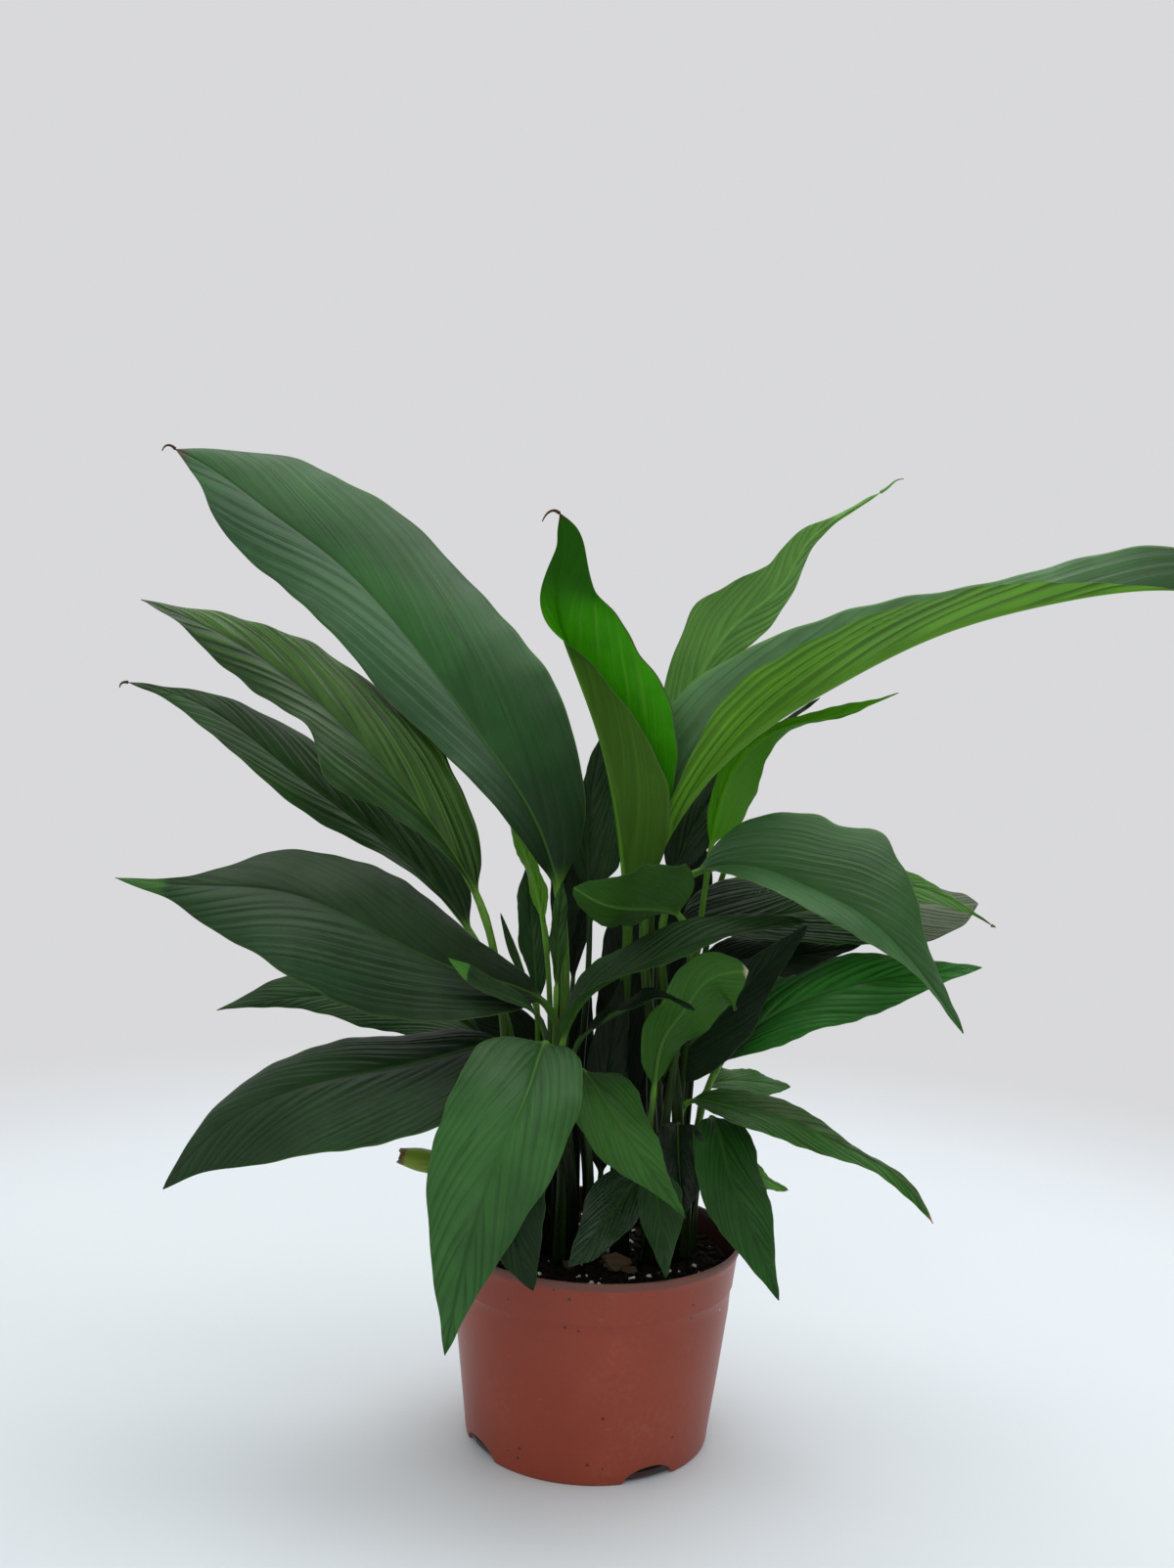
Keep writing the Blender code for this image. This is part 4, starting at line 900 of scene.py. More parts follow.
def cut_stalk_material():
    """Yellow-green flesh, greener towards the foot, with the cut end dried brown round one pale spot."""
    material, w, shader, where = new_material("cut_stalk_green")
    share = w.parts(w.attribute("grow"))[0]
    strands = w.noise(w.stretched(where, (0.12, 1, 1)), 700, 3, 0.6)
    colour = w.mix(w.step(0.6, 0.95, share), srgb(52, 84, 28), srgb(116, 140, 40))
    colour = w.mix(w.times(w.step(0.45, 0.7, strands), 0.35), colour, srgb(80, 104, 30))
    ragged = w.scaled(w.noise(where, 420, 3), 0.05, share)
    colour = w.mix(w.step(0.985, 1.005, ragged), colour, srgb(104, 78, 40))
    colour = w.mix(w.step(1.012, 1.03, ragged), colour, srgb(62, 36, 22))
    spot = w.group(SPECKS, Vector=where, Cells=190.0, Radius=0.5, Share=0.55)
    colour = w.mix(w.times(spot["Mask"], w.step(0.992, 1.0, share)), colour, srgb(196, 188, 176))
    coat(w, shader, colour, 0.5, 0.3, 0.5, 0.0005, strands)
    return material


def pot_material():
    """Thin moulded terracotta plastic: fine mottling, a dull lip, pale scuffs, specks of soil and painted
    shade inside.
    """
    material, w, shader, where = new_material("terracotta_plastic")
    height = w.parts(where)[2]
    film = w.group(FILM, Vector=where, Size=18.0, Bias=0.45)
    cloud = w.step(0.3, 0.7, w.noise(where, 14, 4, 0.6))
    colour = w.mix(cloud, srgb(134, 54, 34), srgb(146, 60, 38))
    rows = w.noise(w.stretched(where, (1, 1, 14)), 22, 3, 0.6)
    colour = w.mix(w.times(w.step(0.5, 0.8, rows), 0.25), colour, srgb(120, 55, 42))
    colour = w.mix(w.times(film["Mask"], 0.22), colour, srgb(180, 140, 125))
    scuff = w.noise(w.stretched(where, (0.5, 0.5, 5)), 260, 2, 0.7)
    colour = w.mix(w.times(w.step(0.73, 0.79, scuff), 0.3), colour, srgb(215, 170, 155))
    low = w.rest(w.step(0.002, 0.03, height))
    high = w.step(0.062, 0.088, height)
    share = w.scaled(w.math("MAXIMUM", low, high), 0.35, 0.05)
    dirt = w.group(SPECKS, Vector=where, Cells=170.0, Radius=0.13, Share=share)
    colour = w.mix(w.times(dirt["Mask"], 0.85), colour, (0.02, 0.014, 0.01))
    chalk = w.group(SPECKS, Vector=where, Cells=75.0, Radius=0.045, Share=0.16)
    colour = w.mix(chalk["Mask"], colour, (0.7, 0.66, 0.6))
    lip = w.times(w.step(0.0862, 0.0874, height), w.scaled(film["Grain"], 0.35, 0.6))
    colour = w.mix(lip, colour, srgb(92, 66, 58))
    # painted shade on the pot's inside wall and floor
    inner = w.parts(w.attribute("inner"))[0]
    colour = w.mix(w.times(inner, 0.92), colour, srgb(30, 20, 16))
    gloss = w.scaled(lip, 0.25, w.scaled(film["Mask"], 0.2, 0.36))
    grain = w.scaled(rows, 0.5, w.noise(where, 1400, 2, 0.5))
    coat(w, shader, colour, gloss, 0.35, 0.35, 0.0002, grain)
    return material


def grains_material(name, dark, pale, rough, size=700.0):
    """Crumbs: each carries its own shade in an attribute, over a fine grain of its own stuff."""
    material, w, shader, where = new_material(name)
    shade = w.parts(w.attribute("shade"))[0]
    grain = w.noise(where, size, 4, 0.65)
    mixed = w.scaled(w.math("SUBTRACT", grain, 0.5), 0.7, shade, clamp=True)
    gloss = w.scaled(grain, 0.2, rough - 0.1)
    coat(w, shader, w.mix(mixed, dark, pale), gloss, 0.15, 0.8, 0.0004, grain)
    return material


def wall(z):
    """Outer radius of the pot's plain wall at a height."""
    return BASE_RADIUS + (RIM_RADIUS - BASE_RADIUS) * z / POT_HEIGHT


def pot_rings():
    """The pot as closed rings round a wall section. The section runs from the middle of the floor up the
    inside, over the rolled lip and down the outside. The outer foot rises into four shallow arches, and
    the whole pot is a little out of round. Each ring's mark says whether it lies inside the pot."""
    turns = 288
    angle = 2 * np.pi * np.arange(turns) / turns
    lip = POT_HEIGHT - LIP_DEPTH
    top, bead, step = RIM_RADIUS, LIP_STAND, STEP_HEIGHT
    arch = np.zeros(turns)
    for middle in NOTCH_ANGLES:
        off = (np.degrees(angle) - middle + 180) % 360 - 180
        chord = np.abs(np.radians(off)) * BASE_RADIUS
        arch = np.maximum(arch, NOTCH_HEIGHT * np.sqrt(np.clip(1 - (chord / (NOTCH_WIDTH / 2)) ** 2, 0, 1)))
    inside = [(wall(FLOOR) - WALL - 0.6, FLOOR), (wall(3) - WALL, 3)]
    inside += [(wall(z) - WALL - STEP_DEPTH, z) for z in (20, 45, 68, step - 1)]
    inside += [(wall(step + 1) - WALL, step + 1), (wall(78) - WALL, 78), (top - WALL - 0.5, 86.5)]
    bend = WALL / 2 + bead * 0.6
    curve = np.linspace(0.9 * np.pi, 0.0, 9)
    rim = [(top - 0.15 + bend * np.cos(a), POT_HEIGHT - 0.9 + 0.9 * np.sin(a)) for a in curve]
    outside = [(top + 0.55 * bead, lip + 2.6), (top + 0.3 * bead, lip + 1.4), (wall(lip) + 0.12, lip)]
    outside += [(wall(z), z) for z in (lip - 2, lip - 5, 78, step + 1.2)]
    outside += [(wall(step + 0.6) + 0.06, step + 0.6), (wall(step) - 0.1, step)]
    outside += [(wall(step - 0.7) - STEP_DEPTH, step - 0.7), (wall(66) - STEP_DEPTH * 0.7, 66)]
    outside += [(wall(z), z) for z in (60, 50, 40, 30, 20, 12, 7, 4, 2)]
    outside += [(wall(0.8) - 0.1, 0.8), (BASE_RADIUS - 0.6, 0.0)]
    under = [(BASE_RADIUS - 1.6, 0.0), (BASE_RADIUS - 2.0, 0.3), (40, 0.4), (15, 0.4)]
    section = np.array([(1.5, FLOOR)] + inside + rim + outside + under)
    radius = np.broadcast_to(section[:, 0][:, None], (len(section), turns)).copy()
    level = np.broadcast_to(section[:, 1][:, None], radius.shape).copy()
    outer = (np.arange(len(section)) > len(inside) + len(rim)) & (section[:, 0] > BASE_RADIUS - 3)
    arched = 14
    squeezed = arch + level * (1 - arch / arched)
    level = np.where(outer[:, None] & (level < arched), squeezed, level)
    raised = radius + (level - section[:, 1][:, None]) * 0.12
    radius = np.where(outer[:, None] & (level < arched), raised, radius)
    sway = 1 + 0.004 * np.cos(2 * angle + 0.6) + 0.0015 * np.cos(3 * angle) + 0.0008 * np.cos(7 * angle + 1)
    radius = radius * (1 + (sway - 1) * np.clip(level / 30, 0.2, 1))
    inner = np.arange(len(section)) < len(inside) + 3
    return np.stack([radius * np.cos(angle), radius * np.sin(angle), level], -1), inner


def lumps(seed, places, sizes, flat, rows, turns):
    """Many small rough stones in one mesh: each is a ball of a few rings, pushed in and out at random,
    stretched differently along its three axes and turned at random."""
    rng = np.random.default_rng(seed)
    n = len(places)
    polar = np.pi * np.arange(1, rows + 1) / (rows + 1)
    angle = 2 * np.pi * np.arange(turns) / turns
    ball = np.stack([
        np.sin(polar)[:, None] * np.cos(angle), np.sin(polar)[:, None] * np.sin(angle),
        np.broadcast_to(np.cos(polar)[:, None], (rows, turns)),
    ], -1).reshape(-1, 3)
    ball = np.concatenate([[(0, 0, 1)], ball, [(0, 0, -1)]])
    points = ball[None] * rng.uniform(0.72, 1.2, (n, len(ball), 1)) * rng.uniform(0.6, 1.25, (n, 1, 3))
    spin, _ = np.linalg.qr(rng.normal(size=(n, 3, 3)))
    spin[:, :, 0] *= np.sign(np.linalg.det(spin))[:, None]
    points = np.einsum("nij,nkj->nki", spin, points) * sizes[:, None, None]
    points[..., 2] *= flat
    points = points + places[:, None]
    faces = []
    for k in range(turns):
        nxt = (k + 1) % turns
        faces.append((0, 1 + k, 1 + nxt, 1 + nxt))
        last = 1 + (rows - 1) * turns
        faces.append((last + k, len(ball) - 1, last + nxt, last + nxt))
        for r in range(rows - 1):
            at = 1 + r * turns
            faces.append((at + k, at + turns + k, at + turns + nxt, at + nxt))
    faces = np.array(faces)
    every = (np.arange(n)[:, None, None] * len(ball) + faces[None]).reshape(-1, 4)
    return points.reshape(-1, 3), every, len(ball)


def lump_mesh(name, seed, places, sizes, flat, shades, rows, turns):
    """The stones as one flat-faced mesh, each with its own shade."""
    points, faces, each = lumps(seed, places, sizes, flat, rows, turns)
    listed = [tuple(f[:3]) if f[2] == f[3] else tuple(f) for f in faces.tolist()]
    mesh = bpy.data.meshes.new(name)
    mesh.from_pydata((points * MM).tolist(), [], listed)
    mesh.polygons.foreach_set("use_smooth", np.zeros(len(mesh.polygons), bool))
    paint(mesh, "shade", np.repeat(shades, each))
    mesh.update()
    return mesh


def soil_relief(x, y):
    """Height of the growing mix: slow swells, small lumps, and a fall towards the pot's wall."""
    far = np.hypot(x, y)
    rough = 0.5 * np.sin(0.16 * x + 1.1) * np.cos(0.14 * y + 0.4)
    rough = rough + 0.35 * np.sin(0.52 * x + 0.31 * y) * np.sin(0.47 * y - 0.22 * x + 2)
    rough = rough + 0.25 * np.sin(1.31 * x - 0.9 * y + 1) * np.cos(1.17 * y + 0.63 * x)
    return SOIL_TOP - 0.7 + rough - 1.2 * smooth(54, 62, far)


def soil_rings():
    """The growing mix as rings round a section: its rough top from the middle out, then down and under."""
    turns = 200
    angle = 2 * np.pi * np.arange(turns) / turns
    reach = np.concatenate([[0.8], np.linspace(2.5, 61.2, 40)])
    x, y = reach[:, None] * np.cos(angle), reach[:, None] * np.sin(angle)
    top = np.stack([x, y, soil_relief(x, y)], -1)
    rim = wall(SOIL_SIDE) - WALL - 0.5
    side = np.array([(rim, SOIL_SIDE), (60.6, 70), (54.6, 6), (52.0, 2.0), (20, 1.9), (0.8, 1.9)])
    level = np.broadcast_to(side[:, 1:], (len(side), turns))
    low = np.stack([side[:, :1] * np.cos(angle), side[:, :1] * np.sin(angle), level], -1)
    return np.concatenate([top, low])


def scatter(seed, count, low, high, lift):
    """Places evenly spread over the growing mix, with a size and a shade for each. Most are small."""
    rng = np.random.default_rng(seed)
    far = np.sqrt(rng.uniform(0, 1, count)) * GRAIN_REACH
    angle = rng.uniform(0, 2 * np.pi, count)
    x, y = far * np.cos(angle), far * np.sin(angle)
    size = low + (high - low) * rng.uniform(0, 1, count) ** 2.2
    return np.stack([x, y, soil_relief(x, y) + lift * size], -1), size, rng.uniform(0, 1, count)


UNDER = (84, 128, 44)
STALK = (84, 128, 42)
# the stalk green darkened as painted shade, for leaves deep in the clumps
SHADED_STALK = (38, 62, 24)
BROWN = (70, 46, 26)
STRAW = (196, 186, 150)
COLOURS = ("top", "left", "under", "stalk", "rib", "vein", "tip")
HABIT = dict(ribbing=0.35, sweep=2.6, spacing=1.0, waist=(0.93, 0.16, 0.05), thread=(), scallop=0.8,
             ribs=(1.0, 1.0), lobes=())
LOOKS = {}
HABITS = {}


def dress(name, top, under=UNDER, stalk=STALK, habit=(), **look):
    """Keeps how one leaf looks. The look is the colours of its upper face, its underside and its stalk,
    with what else is its own. The habit adds to its measures: how strongly it is ribbed, each half's
    share of that, how far its veins sweep forward for each millimetre out, how far apart they are, how
    strong its scallops are, the lobes and notches of its margin (half, place, share, reach), the waist
    before the tip (place, share, reach) and the dry thread. A skin that is drawn closer than its solid
    has lines, widths, folds or a ripple of its own there, which take the place of the solid's."""
    look = {"top": top, "under": under, "stalk": stalk, **look}
    LOOKS["leaf_" + name] = {key: srgb(*value) if key in COLOURS else value for key, value in look.items()}
    HABITS["leaf_" + name] = {**HABIT, **dict(habit)}


# tall_left's left half is lighter and bluer: a painted sheen
dress("tall_left", (40, 84, 37), left=(50, 86, 52), groove=0.35, specks=0.04, fade=(0.42, 0.05, 0.25),
      tip=BROWN,
      habit=dict(right=(29, 46, 50, 51, 45, 28, 12), ribbing=0.18, ribs=(1.2, 0.9), sweep=2.9, spacing=1.4,
                 scallop=0.5, lobes=((1, 0.9, 0.5, 0.07),), thread=((-2, 0, 1.6), (-2.6, 0, 0),
                 (-1.8, 0, -2.6))))
dress("left_upper", (56, 90, 32), left=(32, 66, 22), groove=0.95, crest=0.5, shine=0.2, rough=0.38,
      habit=dict(stem=[(-17, -1), (-41, -4, 165)], right=(16, 23, 28, 26, 15, 11, 6), ribbing=1.1,
                 ribs=(0.3, 1.0), sweep=3.0, spacing=1.3, scallop=2.0, lobes=((-1, 0.38, 0.22, 0.09),
                 (-1, 0.56, -0.2, 0.07)), waist=(0.93, 0.3, 0.05)))
dress("left_middle", (40, 68, 32), left=(44, 76, 36), groove=0.6, tip=BROWN,
      habit=dict(stem=[(-20, 8), (-37, 8, 160)], rib=[(-60, 12, 219), (-99, 15, 258), (-145, 18, 290),
                 (-191, 20, 320), (-222, 20, 328)], left=(5, 9, 14, 16, 13, 7, 3), ribbing=0.6,
                 ribs=(0.4, 1.0), waist=(0.93, 0.45, 0.05), thread=((-2, 0, 0), (-1.5, 0, -0.8),
                 (-0.6, 0, -1.8))))
dress("left_broad", (36, 58, 32), left=(36, 62, 35), stalk=(52, 84, 30), shine=0.09,
      fade=(0.5, 0.05, 0.45), tip=(52, 92, 38), tip_from=0.9,
      habit=dict(left=(24, 36, 42, 43, 30, 11, 4), right=(15, 31, 35, 31, 13, 4, 1.5),
                 ribs=(1.0, 0.4), spacing=1.2, scallop=0.4, lobes=((1, 0.72, 0.3, 0.08),),
                 waist=(0.91, 0.3, 0.05)))
dress("left_behind", (34, 70, 28), stalk=SHADED_STALK)
dress("left_lowest", (33, 60, 31), stalk=SHADED_STALK, fade=(0.5, 0.08, 0.3),
      habit=dict(ribbing=0.4, scallop=0.4))
dress("front_left", (50, 93, 44), groove=0.4, specks=0.04, fade=(0.26, 0.0, 0.5),
      habit=dict(ribbing=0.3, sweep=2.4, spacing=1.3))
dress("front_under", (26, 54, 24), stalk=SHADED_STALK)
dress("front_center", (49, 93, 34), groove=0.4, specks=0.1, fade=(0.32, 0.0, 0.38),
      habit=dict(ribbing=0.24, sweep=2.4, spacing=1.2))
dress("behind_stalks", (38, 72, 32))
dress("short_lime", (56, 104, 20), under=(84, 136, 36), groove=0.3)
dress("upright_dark", (32, 58, 28), under=(44, 74, 28), stalk=SHADED_STALK,
      habit=dict(rib=[(-8, 19, 240), (-10, 21, 268), (-8, 24, 292), (-5, 25, 314)],
                 right=(14, 17, 15, 12, 9, 6, 3)))
dress("arching_dark", (33, 58, 28), under=(50, 90, 30), rib=(70, 110, 46))
dress("narrow_hook", (20, 38, 18), under=(44, 70, 30), stalk=SHADED_STALK)
dress("sheath_tip", (40, 70, 26), tip=BROWN,
      habit=dict(left=(1.8, 2.2, 2.6, 2.4, 1.8, 1.2, 0.7), right=(1.8, 2.2, 2.6, 2.4, 1.8, 1.2, 0.7),
                 wave=(0.15, 1, 0), scallop=0.0, waist=(0.93, 0.0, 0.05)))
dress("narrow_upright", (46, 80, 32))
dress("small_bract", (34, 62, 28), stalk=SHADED_STALK, tip=(62, 114, 42), tip_from=0.78,
      habit=dict(rib=[(-29, -24, 192), (-48, -36, 204), (-66, -45, 218)], left=(3, 5, 6, 6, 5, 3, 1.2),
                 right=(3, 5, 6, 6, 5, 3, 1.2), wave=(0.5, 1, 0), scallop=0.0))
# rolled_young's bright lime upper face is painted light shining through the blade
dress("rolled_young", (54, 144, 3), under=(64, 102, 30), stalk=(60, 96, 28), rib=(96, 160, 40),
      vein=(88, 156, 36), groove=0.12, crest=0.1, shine=0.08, edge=1.0, dust=0.0, fade=(0.7, 0.86, 0.3),
      tip=BROWN,
      habit=dict(rib=[(9, -8, 238), (3, -11, 280), (-9, -13, 320), (-21, -17, 349), (-27, -21, 376),
                 (-24, -25, 394), (-27, -29, 406)], left=(22, 29, 24, 15, 10, 6, 4),
                 right=(17, 29, 35, 29, 24, 15, 8), ribbing=0.15, sweep=2.0, spacing=1.6,
                 thread=((-2.4, 0, 1.2), (-2.4, 0, -0.8), (-2.6, 0, -4))))
# long_right's far (left) half is a pale blue-green: a painted sheen
dress("long_right", (58, 100, 52), left=(90, 134, 84), under=(88, 142, 34), groove=0.4, shine=0.2, edge=0.8,
      fade=(0.68, 0.9, 0.5),
      habit=dict(left=(34, 36, 26, 15, 19, 21, 11), right=(18, 34, 36, 24, 8, 2, 1), ribbing=1.2,
                 ribs=(0.3, 1.0), sweep=4.2, spacing=1.7))
dress("back_upper", (100, 160, 90), under=(100, 150, 70), groove=0.4,
      habit=dict(ribbing=0.6, scallop=2.0, lobes=((1, 0.4, 0.12, 0.05), (1, 0.62, -0.14, 0.05),
                 (-1, 0.5, 0.1, 0.06), (-1, 0.7, -0.14, 0.05)), waist=(0.9, 0.72, 0.11), thread=((4, 0, 3),
                 (4, 0, 3.4), (3, 0, 0.6))))
# the backlit leaf's lime faces are painted light shining through it
dress("backlit", (64, 138, 4), under=(68, 134, 6), groove=0.25, shine=0.08, habit=dict(ribbing=0.2))
dress("striped_back", (26, 48, 22), under=(42, 70, 30), stalk=SHADED_STALK, groove=0.7, crest=0.4,
      habit=dict(ribbing=0.9))
dress("right_broad", (52, 100, 48), left=(48, 88, 42), groove=0.4, edge=0.8, specks=0.04,
      fade=(0.4, 0.08, 0.55),
      habit=dict(left=(30, 39, 43, 28, 13, 7, 3), ribbing=0.28, ribs=(1.0, 0.6), sweep=2.8, spacing=1.35,
                 lobes=((-1, 0.34, -0.03, 0.04), (-1, 0.45, 0.05, 0.05))))
dress("left_turn", (40, 76, 26), under=(48, 88, 28), rib=(76, 120, 44), groove=0.2, fade=(0.5, 0.1, 0.6),
      habit=dict(ribbing=0.2))
dress("folded_dark", (22, 44, 20), under=(40, 68, 28), stalk=SHADED_STALK, rib=(78, 116, 56), edge=1.0)
dress("curled_under", (46, 88, 29), under=(54, 98, 32), rib=(80, 124, 50), groove=0.35, tip=STRAW,
      habit=dict(left=(8, 13, 16, 18, 19, 17, 10), right=(7, 10, 12, 13, 14, 13, 9), ribbing=0.2))
dress("right_green", (46, 118, 38), crest=0.3, shine=0.2, habit=dict(ribbing=0.5, spacing=1.3))
dress("striped_grey", (36, 62, 30), stalk=SHADED_STALK, groove=0.7, crest=0.25, shine=0.09, dust=0.0,
      fade=(0.6, 0.1, 0.4), tip=(88, 100, 78), tip_from=0.72,
      habit=dict(ribbing=0.9, spacing=0.8))
dress("green_tip", (66, 120, 32), tip=(104, 92, 60), tip_from=0.96,
      habit=dict(waist=(0.95, 0.8, 0.08), thread=((0.7, 0, -0.5), (0.7, 0, -0.2), (0.6, 0, -0.5))))
dress("right_low", (52, 104, 34), left=(74, 102, 60), groove=0.7, fade=(0.35, 0.1, 0.45),
      tip=(150, 104, 60), tip_from=0.975,
      habit=dict(left=(8, 11, 7, 4, 3, 3, 2), ribbing=0.7))
dress("right_small", (64, 110, 52))
dress("soil_shiny", (36, 70, 34), stalk=SHADED_STALK, groove=0.75, crest=0.4, shine=0.35, rough=0.34,
      habit=dict(ribbing=0.9))
dress("pointing_down", (34, 66, 28), stalk=SHADED_STALK)
dress("heart_dark", (16, 33, 14), stalk=SHADED_STALK, groove=0.7, shine=0.25, rough=0.24, dust=0.0,
      habit=dict(left=(9, 12, 13, 12, 9, 6, 3), right=(9, 12, 13, 12, 9, 6, 3), fold=(40, 34, 20),
                 fold_left=(40, 34, 20), ribbing=0.3))
dress("front_right", (34, 78, 26))
dress("inner_left", (14, 28, 12), under=(26, 42, 18), stalk=SHADED_STALK,
      habit=dict(left=(5, 8, 10, 12, 12, 9, 4), right=(3, 5, 6, 8, 10, 8, 4)))
dress("right_peek", (80, 140, 50), tip=BROWN)
# the leaves deep inside the clumps, near black as painted shade
for name, top, under in (
    ("core_front", (17, 32, 14), (30, 50, 22)),
    ("core_back", (15, 28, 12), (28, 46, 20)),
    ("core_left", (15, 28, 12), (28, 46, 20)),
    ("core_tall", (20, 38, 16), (32, 54, 24)),
    ("right_shadow", (17, 32, 14), (28, 46, 20)),
    ("inner_side", (16, 32, 14), (26, 42, 18)),
    ("inner_right", (14, 28, 12), (26, 42, 18)),
    ("inner_low", (12, 24, 10), (24, 38, 16)),
):
    dress(name, top, under, SHADED_STALK)


def build_leaves():
    """Every leaf's skin and its own green. The spacing and depth of its ribs follow from the length and
    breadth of its solid."""
    for item in LEAVES:
        size = np.linalg.norm(np.diff(np.asarray(item["rib"], float), axis=0), axis=1).sum()
        broad = max(*item["left"], *item["right"])
        habit = HABITS[item["name"]]
        item.update(habit)
        item["pitch"] = (0.055 * size + 3.5) * habit["spacing"]
        item["relief"] = (0.3 + 0.014 * broad) * habit["ribbing"]
        half = 26 if item["fine"] else 12
        rows = int(np.clip(size / 1.7, 36, 150))
        rings, marks = leaf_rings(item, STALK_ROWS, rows, half)
        mesh = closed_skin(item["name"] + "_skin", rings)
        paint(mesh, "place", marks["vein"], marks["side"], marks["run"])
        paint(mesh, "form", marks["out"], marks["under"], marks["stem"])
        paint(mesh, "grow", marks["rise"])
        slot = "leaf_lime" if item["name"] == "leaf_rolled_young" else "leaf_green"
        look = LOOKS[item["name"]]
        material = leaf_material(item["name"] + "_green", bend=habit["ribbing"], ribs=habit["ribs"], **look)
        add_piece(item["name"] + "_skin", mesh, material, slot, *({item["name"]} & SOLID_LEAVES))


def build_cut_stalk():
    """The stump of a stalk that leans out to the left: it swells just before its ragged cut end."""
    radii = (3.6, 3.5, 3.5, 3.6, 3.8, 4.2, 4.8, 5.0, 3.3)
    points = ((-33, -4, SOIL_TOP + SEAT_GAP), (-35, -6, 96), (-50, -14, 115), (-86, -22, 127))
    rings, share = tube_rings(points, radii, 40, 90)
    end = rings[-1]
    middle = end.mean(axis=0)
    turn = 2 * np.pi * np.arange(40) / 40
    torn = 0.35 * np.sin(3 * turn + 1) + 0.25 * np.sin(7 * turn) + 0.15 * np.sin(13 * turn + 2)
    ahead = unit(middle - rings[-2].mean(axis=0))
    rings[-1] = end + torn[:, None] * ahead
    cup = [middle + (end - middle) * k - ahead * sink for k, sink in ((0.8, 0.3), (0.5, 0.9), (0.2, 1.0))]
    rings = np.concatenate([rings, np.array(cup)])
    share = np.concatenate([share, [1.0, 1.0, 1.0]])
    mesh = closed_skin("cut_stalk_stump", rings)
    share = np.broadcast_to(share[:, None], rings.shape[:2])
    paint(mesh, "grow", share)
    add_piece("cut_stalk_stump", mesh, cut_stalk_material(), "leaf_lime", "cut_stalk")


def build_pot_and_soil():
    rings, inner = pot_rings()
    pot = closed_skin("nursery_pot", rings)
    inner = np.broadcast_to(inner[:, None], rings.shape[:2])
    paint(pot, "inner", inner)
    add_piece("nursery_pot", pot, pot_material(), "pot_plastic", "pot")
    # dark peat, its colours darkened further as painted shade under the leaves
    earth = grains_material("growing_mix", srgb(5, 4, 3), srgb(34, 27, 21), 0.95, 900.0)
    soil = closed_skin("mix_body", soil_rings())
    paint(soil, "shade", np.full(len(soil.vertices), 0.3))
    add_piece("mix_body", soil, earth, "growing_mix", "soil")
    places, sizes, shades = scatter(3, 2600, 0.5, 2.4, 0.1)
    crumbs = lump_mesh("mix_crumbs", 4, places, sizes, 0.8, 0.1 + 0.5 * shades**2, 2, 5)
    add_piece("mix_crumbs", crumbs, earth, "growing_mix")
    places, sizes, shades = scatter(8, 190, 0.45, 1.6, 0.45)
    perlite = grains_material("perlite", srgb(168, 158, 140), srgb(236, 232, 222), 0.85)
    grains = lump_mesh("perlite_grains", 9, places, sizes, 0.85, 0.4 + 0.6 * shades, 3, 6)
    add_piece("perlite_grains", grains, perlite, "growing_mix")
    places, sizes, shades = scatter(15, 26, 1.6, 4.2, 0.3)
    places = np.concatenate([places, [(10, -18, 82.5), (16, -24, 81.5)]])
    sizes, shades = np.append(sizes, (5.2, 3.2)), np.append(shades, (1.0, 0.6))
    chips = lump_mesh("bark_chips", 16, places, sizes, 0.6, shades, 5, 8)
    bark = grains_material("bark_chips", srgb(24, 19, 14), srgb(94, 78, 58), 0.85)
    add_piece("bark_chips", chips, bark, "growing_mix")


def build_camera():
    """The camera looks along +Y from in front, tipped down and turned a little about its own axis."""
    data = bpy.data.cameras.new("camera")
    data.sensor_fit = "AUTO"
    data.sensor_width = 36.0
    data.lens = LENS
    camera = bpy.data.objects.new("camera", data)
    bpy.context.scene.collection.objects.link(camera)
    tip, roll = np.radians(90 - CAMERA_DIP), np.radians(CAMERA_ROLL)
    place = Matrix.Translation(CAMERA_PLACE)
    camera.matrix_world = place @ Matrix.Rotation(tip, 4, "X") @ Matrix.Rotation(roll, 4, "Z")
    bpy.context.scene.camera = camera


def add_lamp(name, energy, place, aim):
    """A broad square lamp at a place, turned to shine at its aim."""
    data = bpy.data.lights.new(name, "AREA")
    data.energy = energy
    data.size = LAMP_SIZE
    lamp = bpy.data.objects.new(name, data)
    bpy.context.scene.collection.objects.link(lamp)
    back = np.asarray(place, float) - np.asarray(aim, float)
    back /= np.linalg.norm(back)
    right = np.cross((0, 1, 0.01), back)
    right /= np.linalg.norm(right)
    up = np.cross(back, right)
    rows = [[*row, p] for row, p in zip(np.stack([right, up, back], 1), place)]
    lamp.matrix_world = Matrix(rows + [(0, 0, 0, 1)])


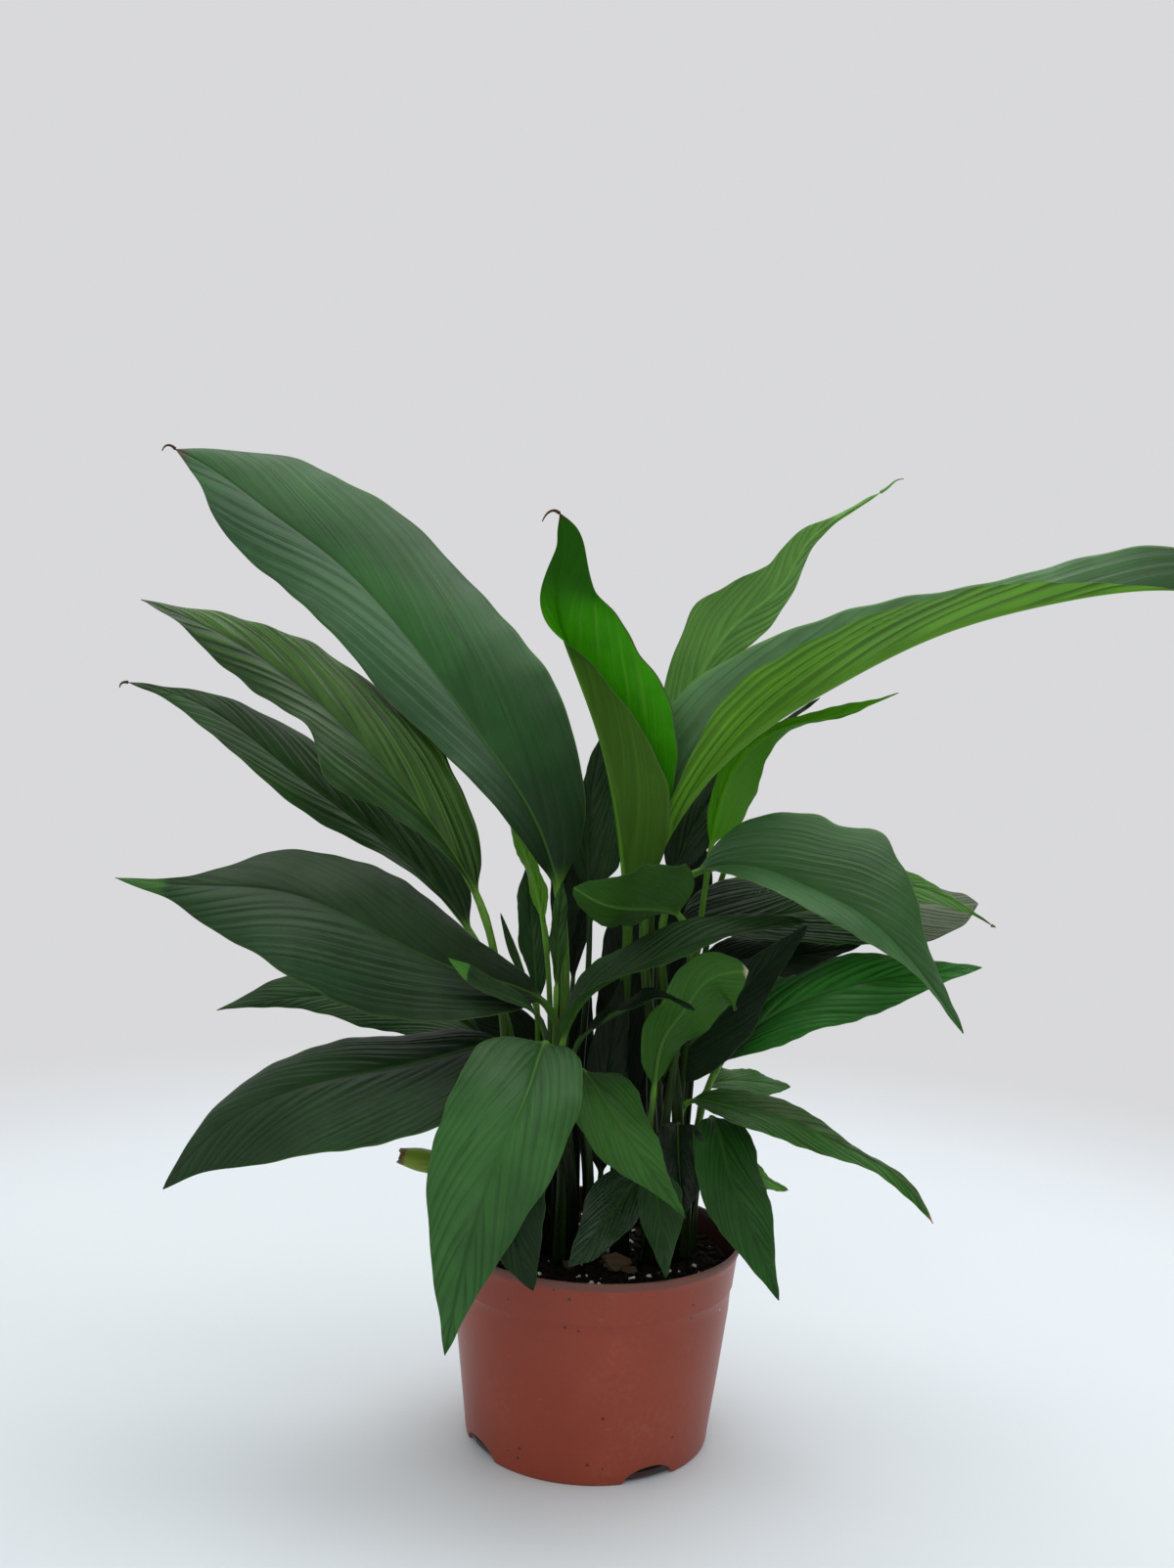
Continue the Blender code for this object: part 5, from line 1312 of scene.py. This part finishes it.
def build_stage():
    """A pale table that turns into the plain backdrop colour far away, soft light from a pale sky, a broad
    lamp overhead and a weaker one in front."""
    backdrop = srgb(217, 217, 219)
    world = bpy.data.worlds.new("studio")
    world.use_nodes = True
    bpy.context.scene.world = world
    w = Wiring(world.node_tree)
    ground = world.node_tree.nodes["Background"]
    ray = w.put("ShaderNodeLightPath").outputs
    height = w.parts(w.put("ShaderNodeTexCoord").outputs["Generated"])[2]
    sky = w.mix(w.step(-0.35, 0.75, height), (0.22, 0.22, 0.22), (1.0, 1.0, 1.0))
    passing = w.math("MAXIMUM", ray["Is Glossy Ray"], ray["Is Transmission Ray"])
    seen = w.math("MAXIMUM", ray["Is Camera Ray"], passing)
    w.feed(ground.inputs["Color"], w.mix(seen, sky, backdrop))
    w.feed(ground.inputs["Strength"], w.scaled(seen, 1 - SKY, SKY))

    floor = bpy.data.objects.new("table", bpy.data.meshes.new("table"))
    corners = [(TABLE_REACH * x, TABLE_REACH * y, 0) for x, y in ((-1, -1), (1, -1), (1, 1), (-1, 1))]
    floor.data.from_pydata(corners, [], [(0, 1, 2, 3)])
    bpy.context.scene.collection.objects.link(floor)
    material, w, shader, where = new_material("table")
    x, y, _ = w.parts(where)
    far = w.math("SQRT", w.math("ADD", w.times(x, x), w.times(y, y)))
    cloud = w.noise(where, 3, 2)
    w.feed(shader.inputs["Base Color"], w.mix(cloud, srgb(216, 224, 230), srgb(222, 228, 232)))
    shader.inputs["Roughness"].default_value = 0.5
    shader.inputs["Specular IOR Level"].default_value = 0.2
    glow = w.put("ShaderNodeEmission", {"Color": backdrop, "Strength": 1.0})
    blend = w.put("ShaderNodeMixShader", {0: w.step(0.42, 0.85, far)})
    w.feed(blend.inputs[1], shader.outputs[0])
    w.feed(blend.inputs[2], glow.outputs[0])
    w.feed(material.node_tree.nodes["Material Output"].inputs["Surface"], blend.outputs[0])
    floor.data.materials.append(material)
    add_lamp("overhead", OVERHEAD, (0.15, 0.25, 1.5), (0, 0, 0.2))
    add_lamp("front_fill", FRONT, (-0.3, -1.6, 1.0), (0, 0, 0.25))


build_camera()
build_stage()
build_leaves()
build_cut_stalk()
build_pot_and_soil()
bpy.context.scene.view_settings.view_transform = "Standard"
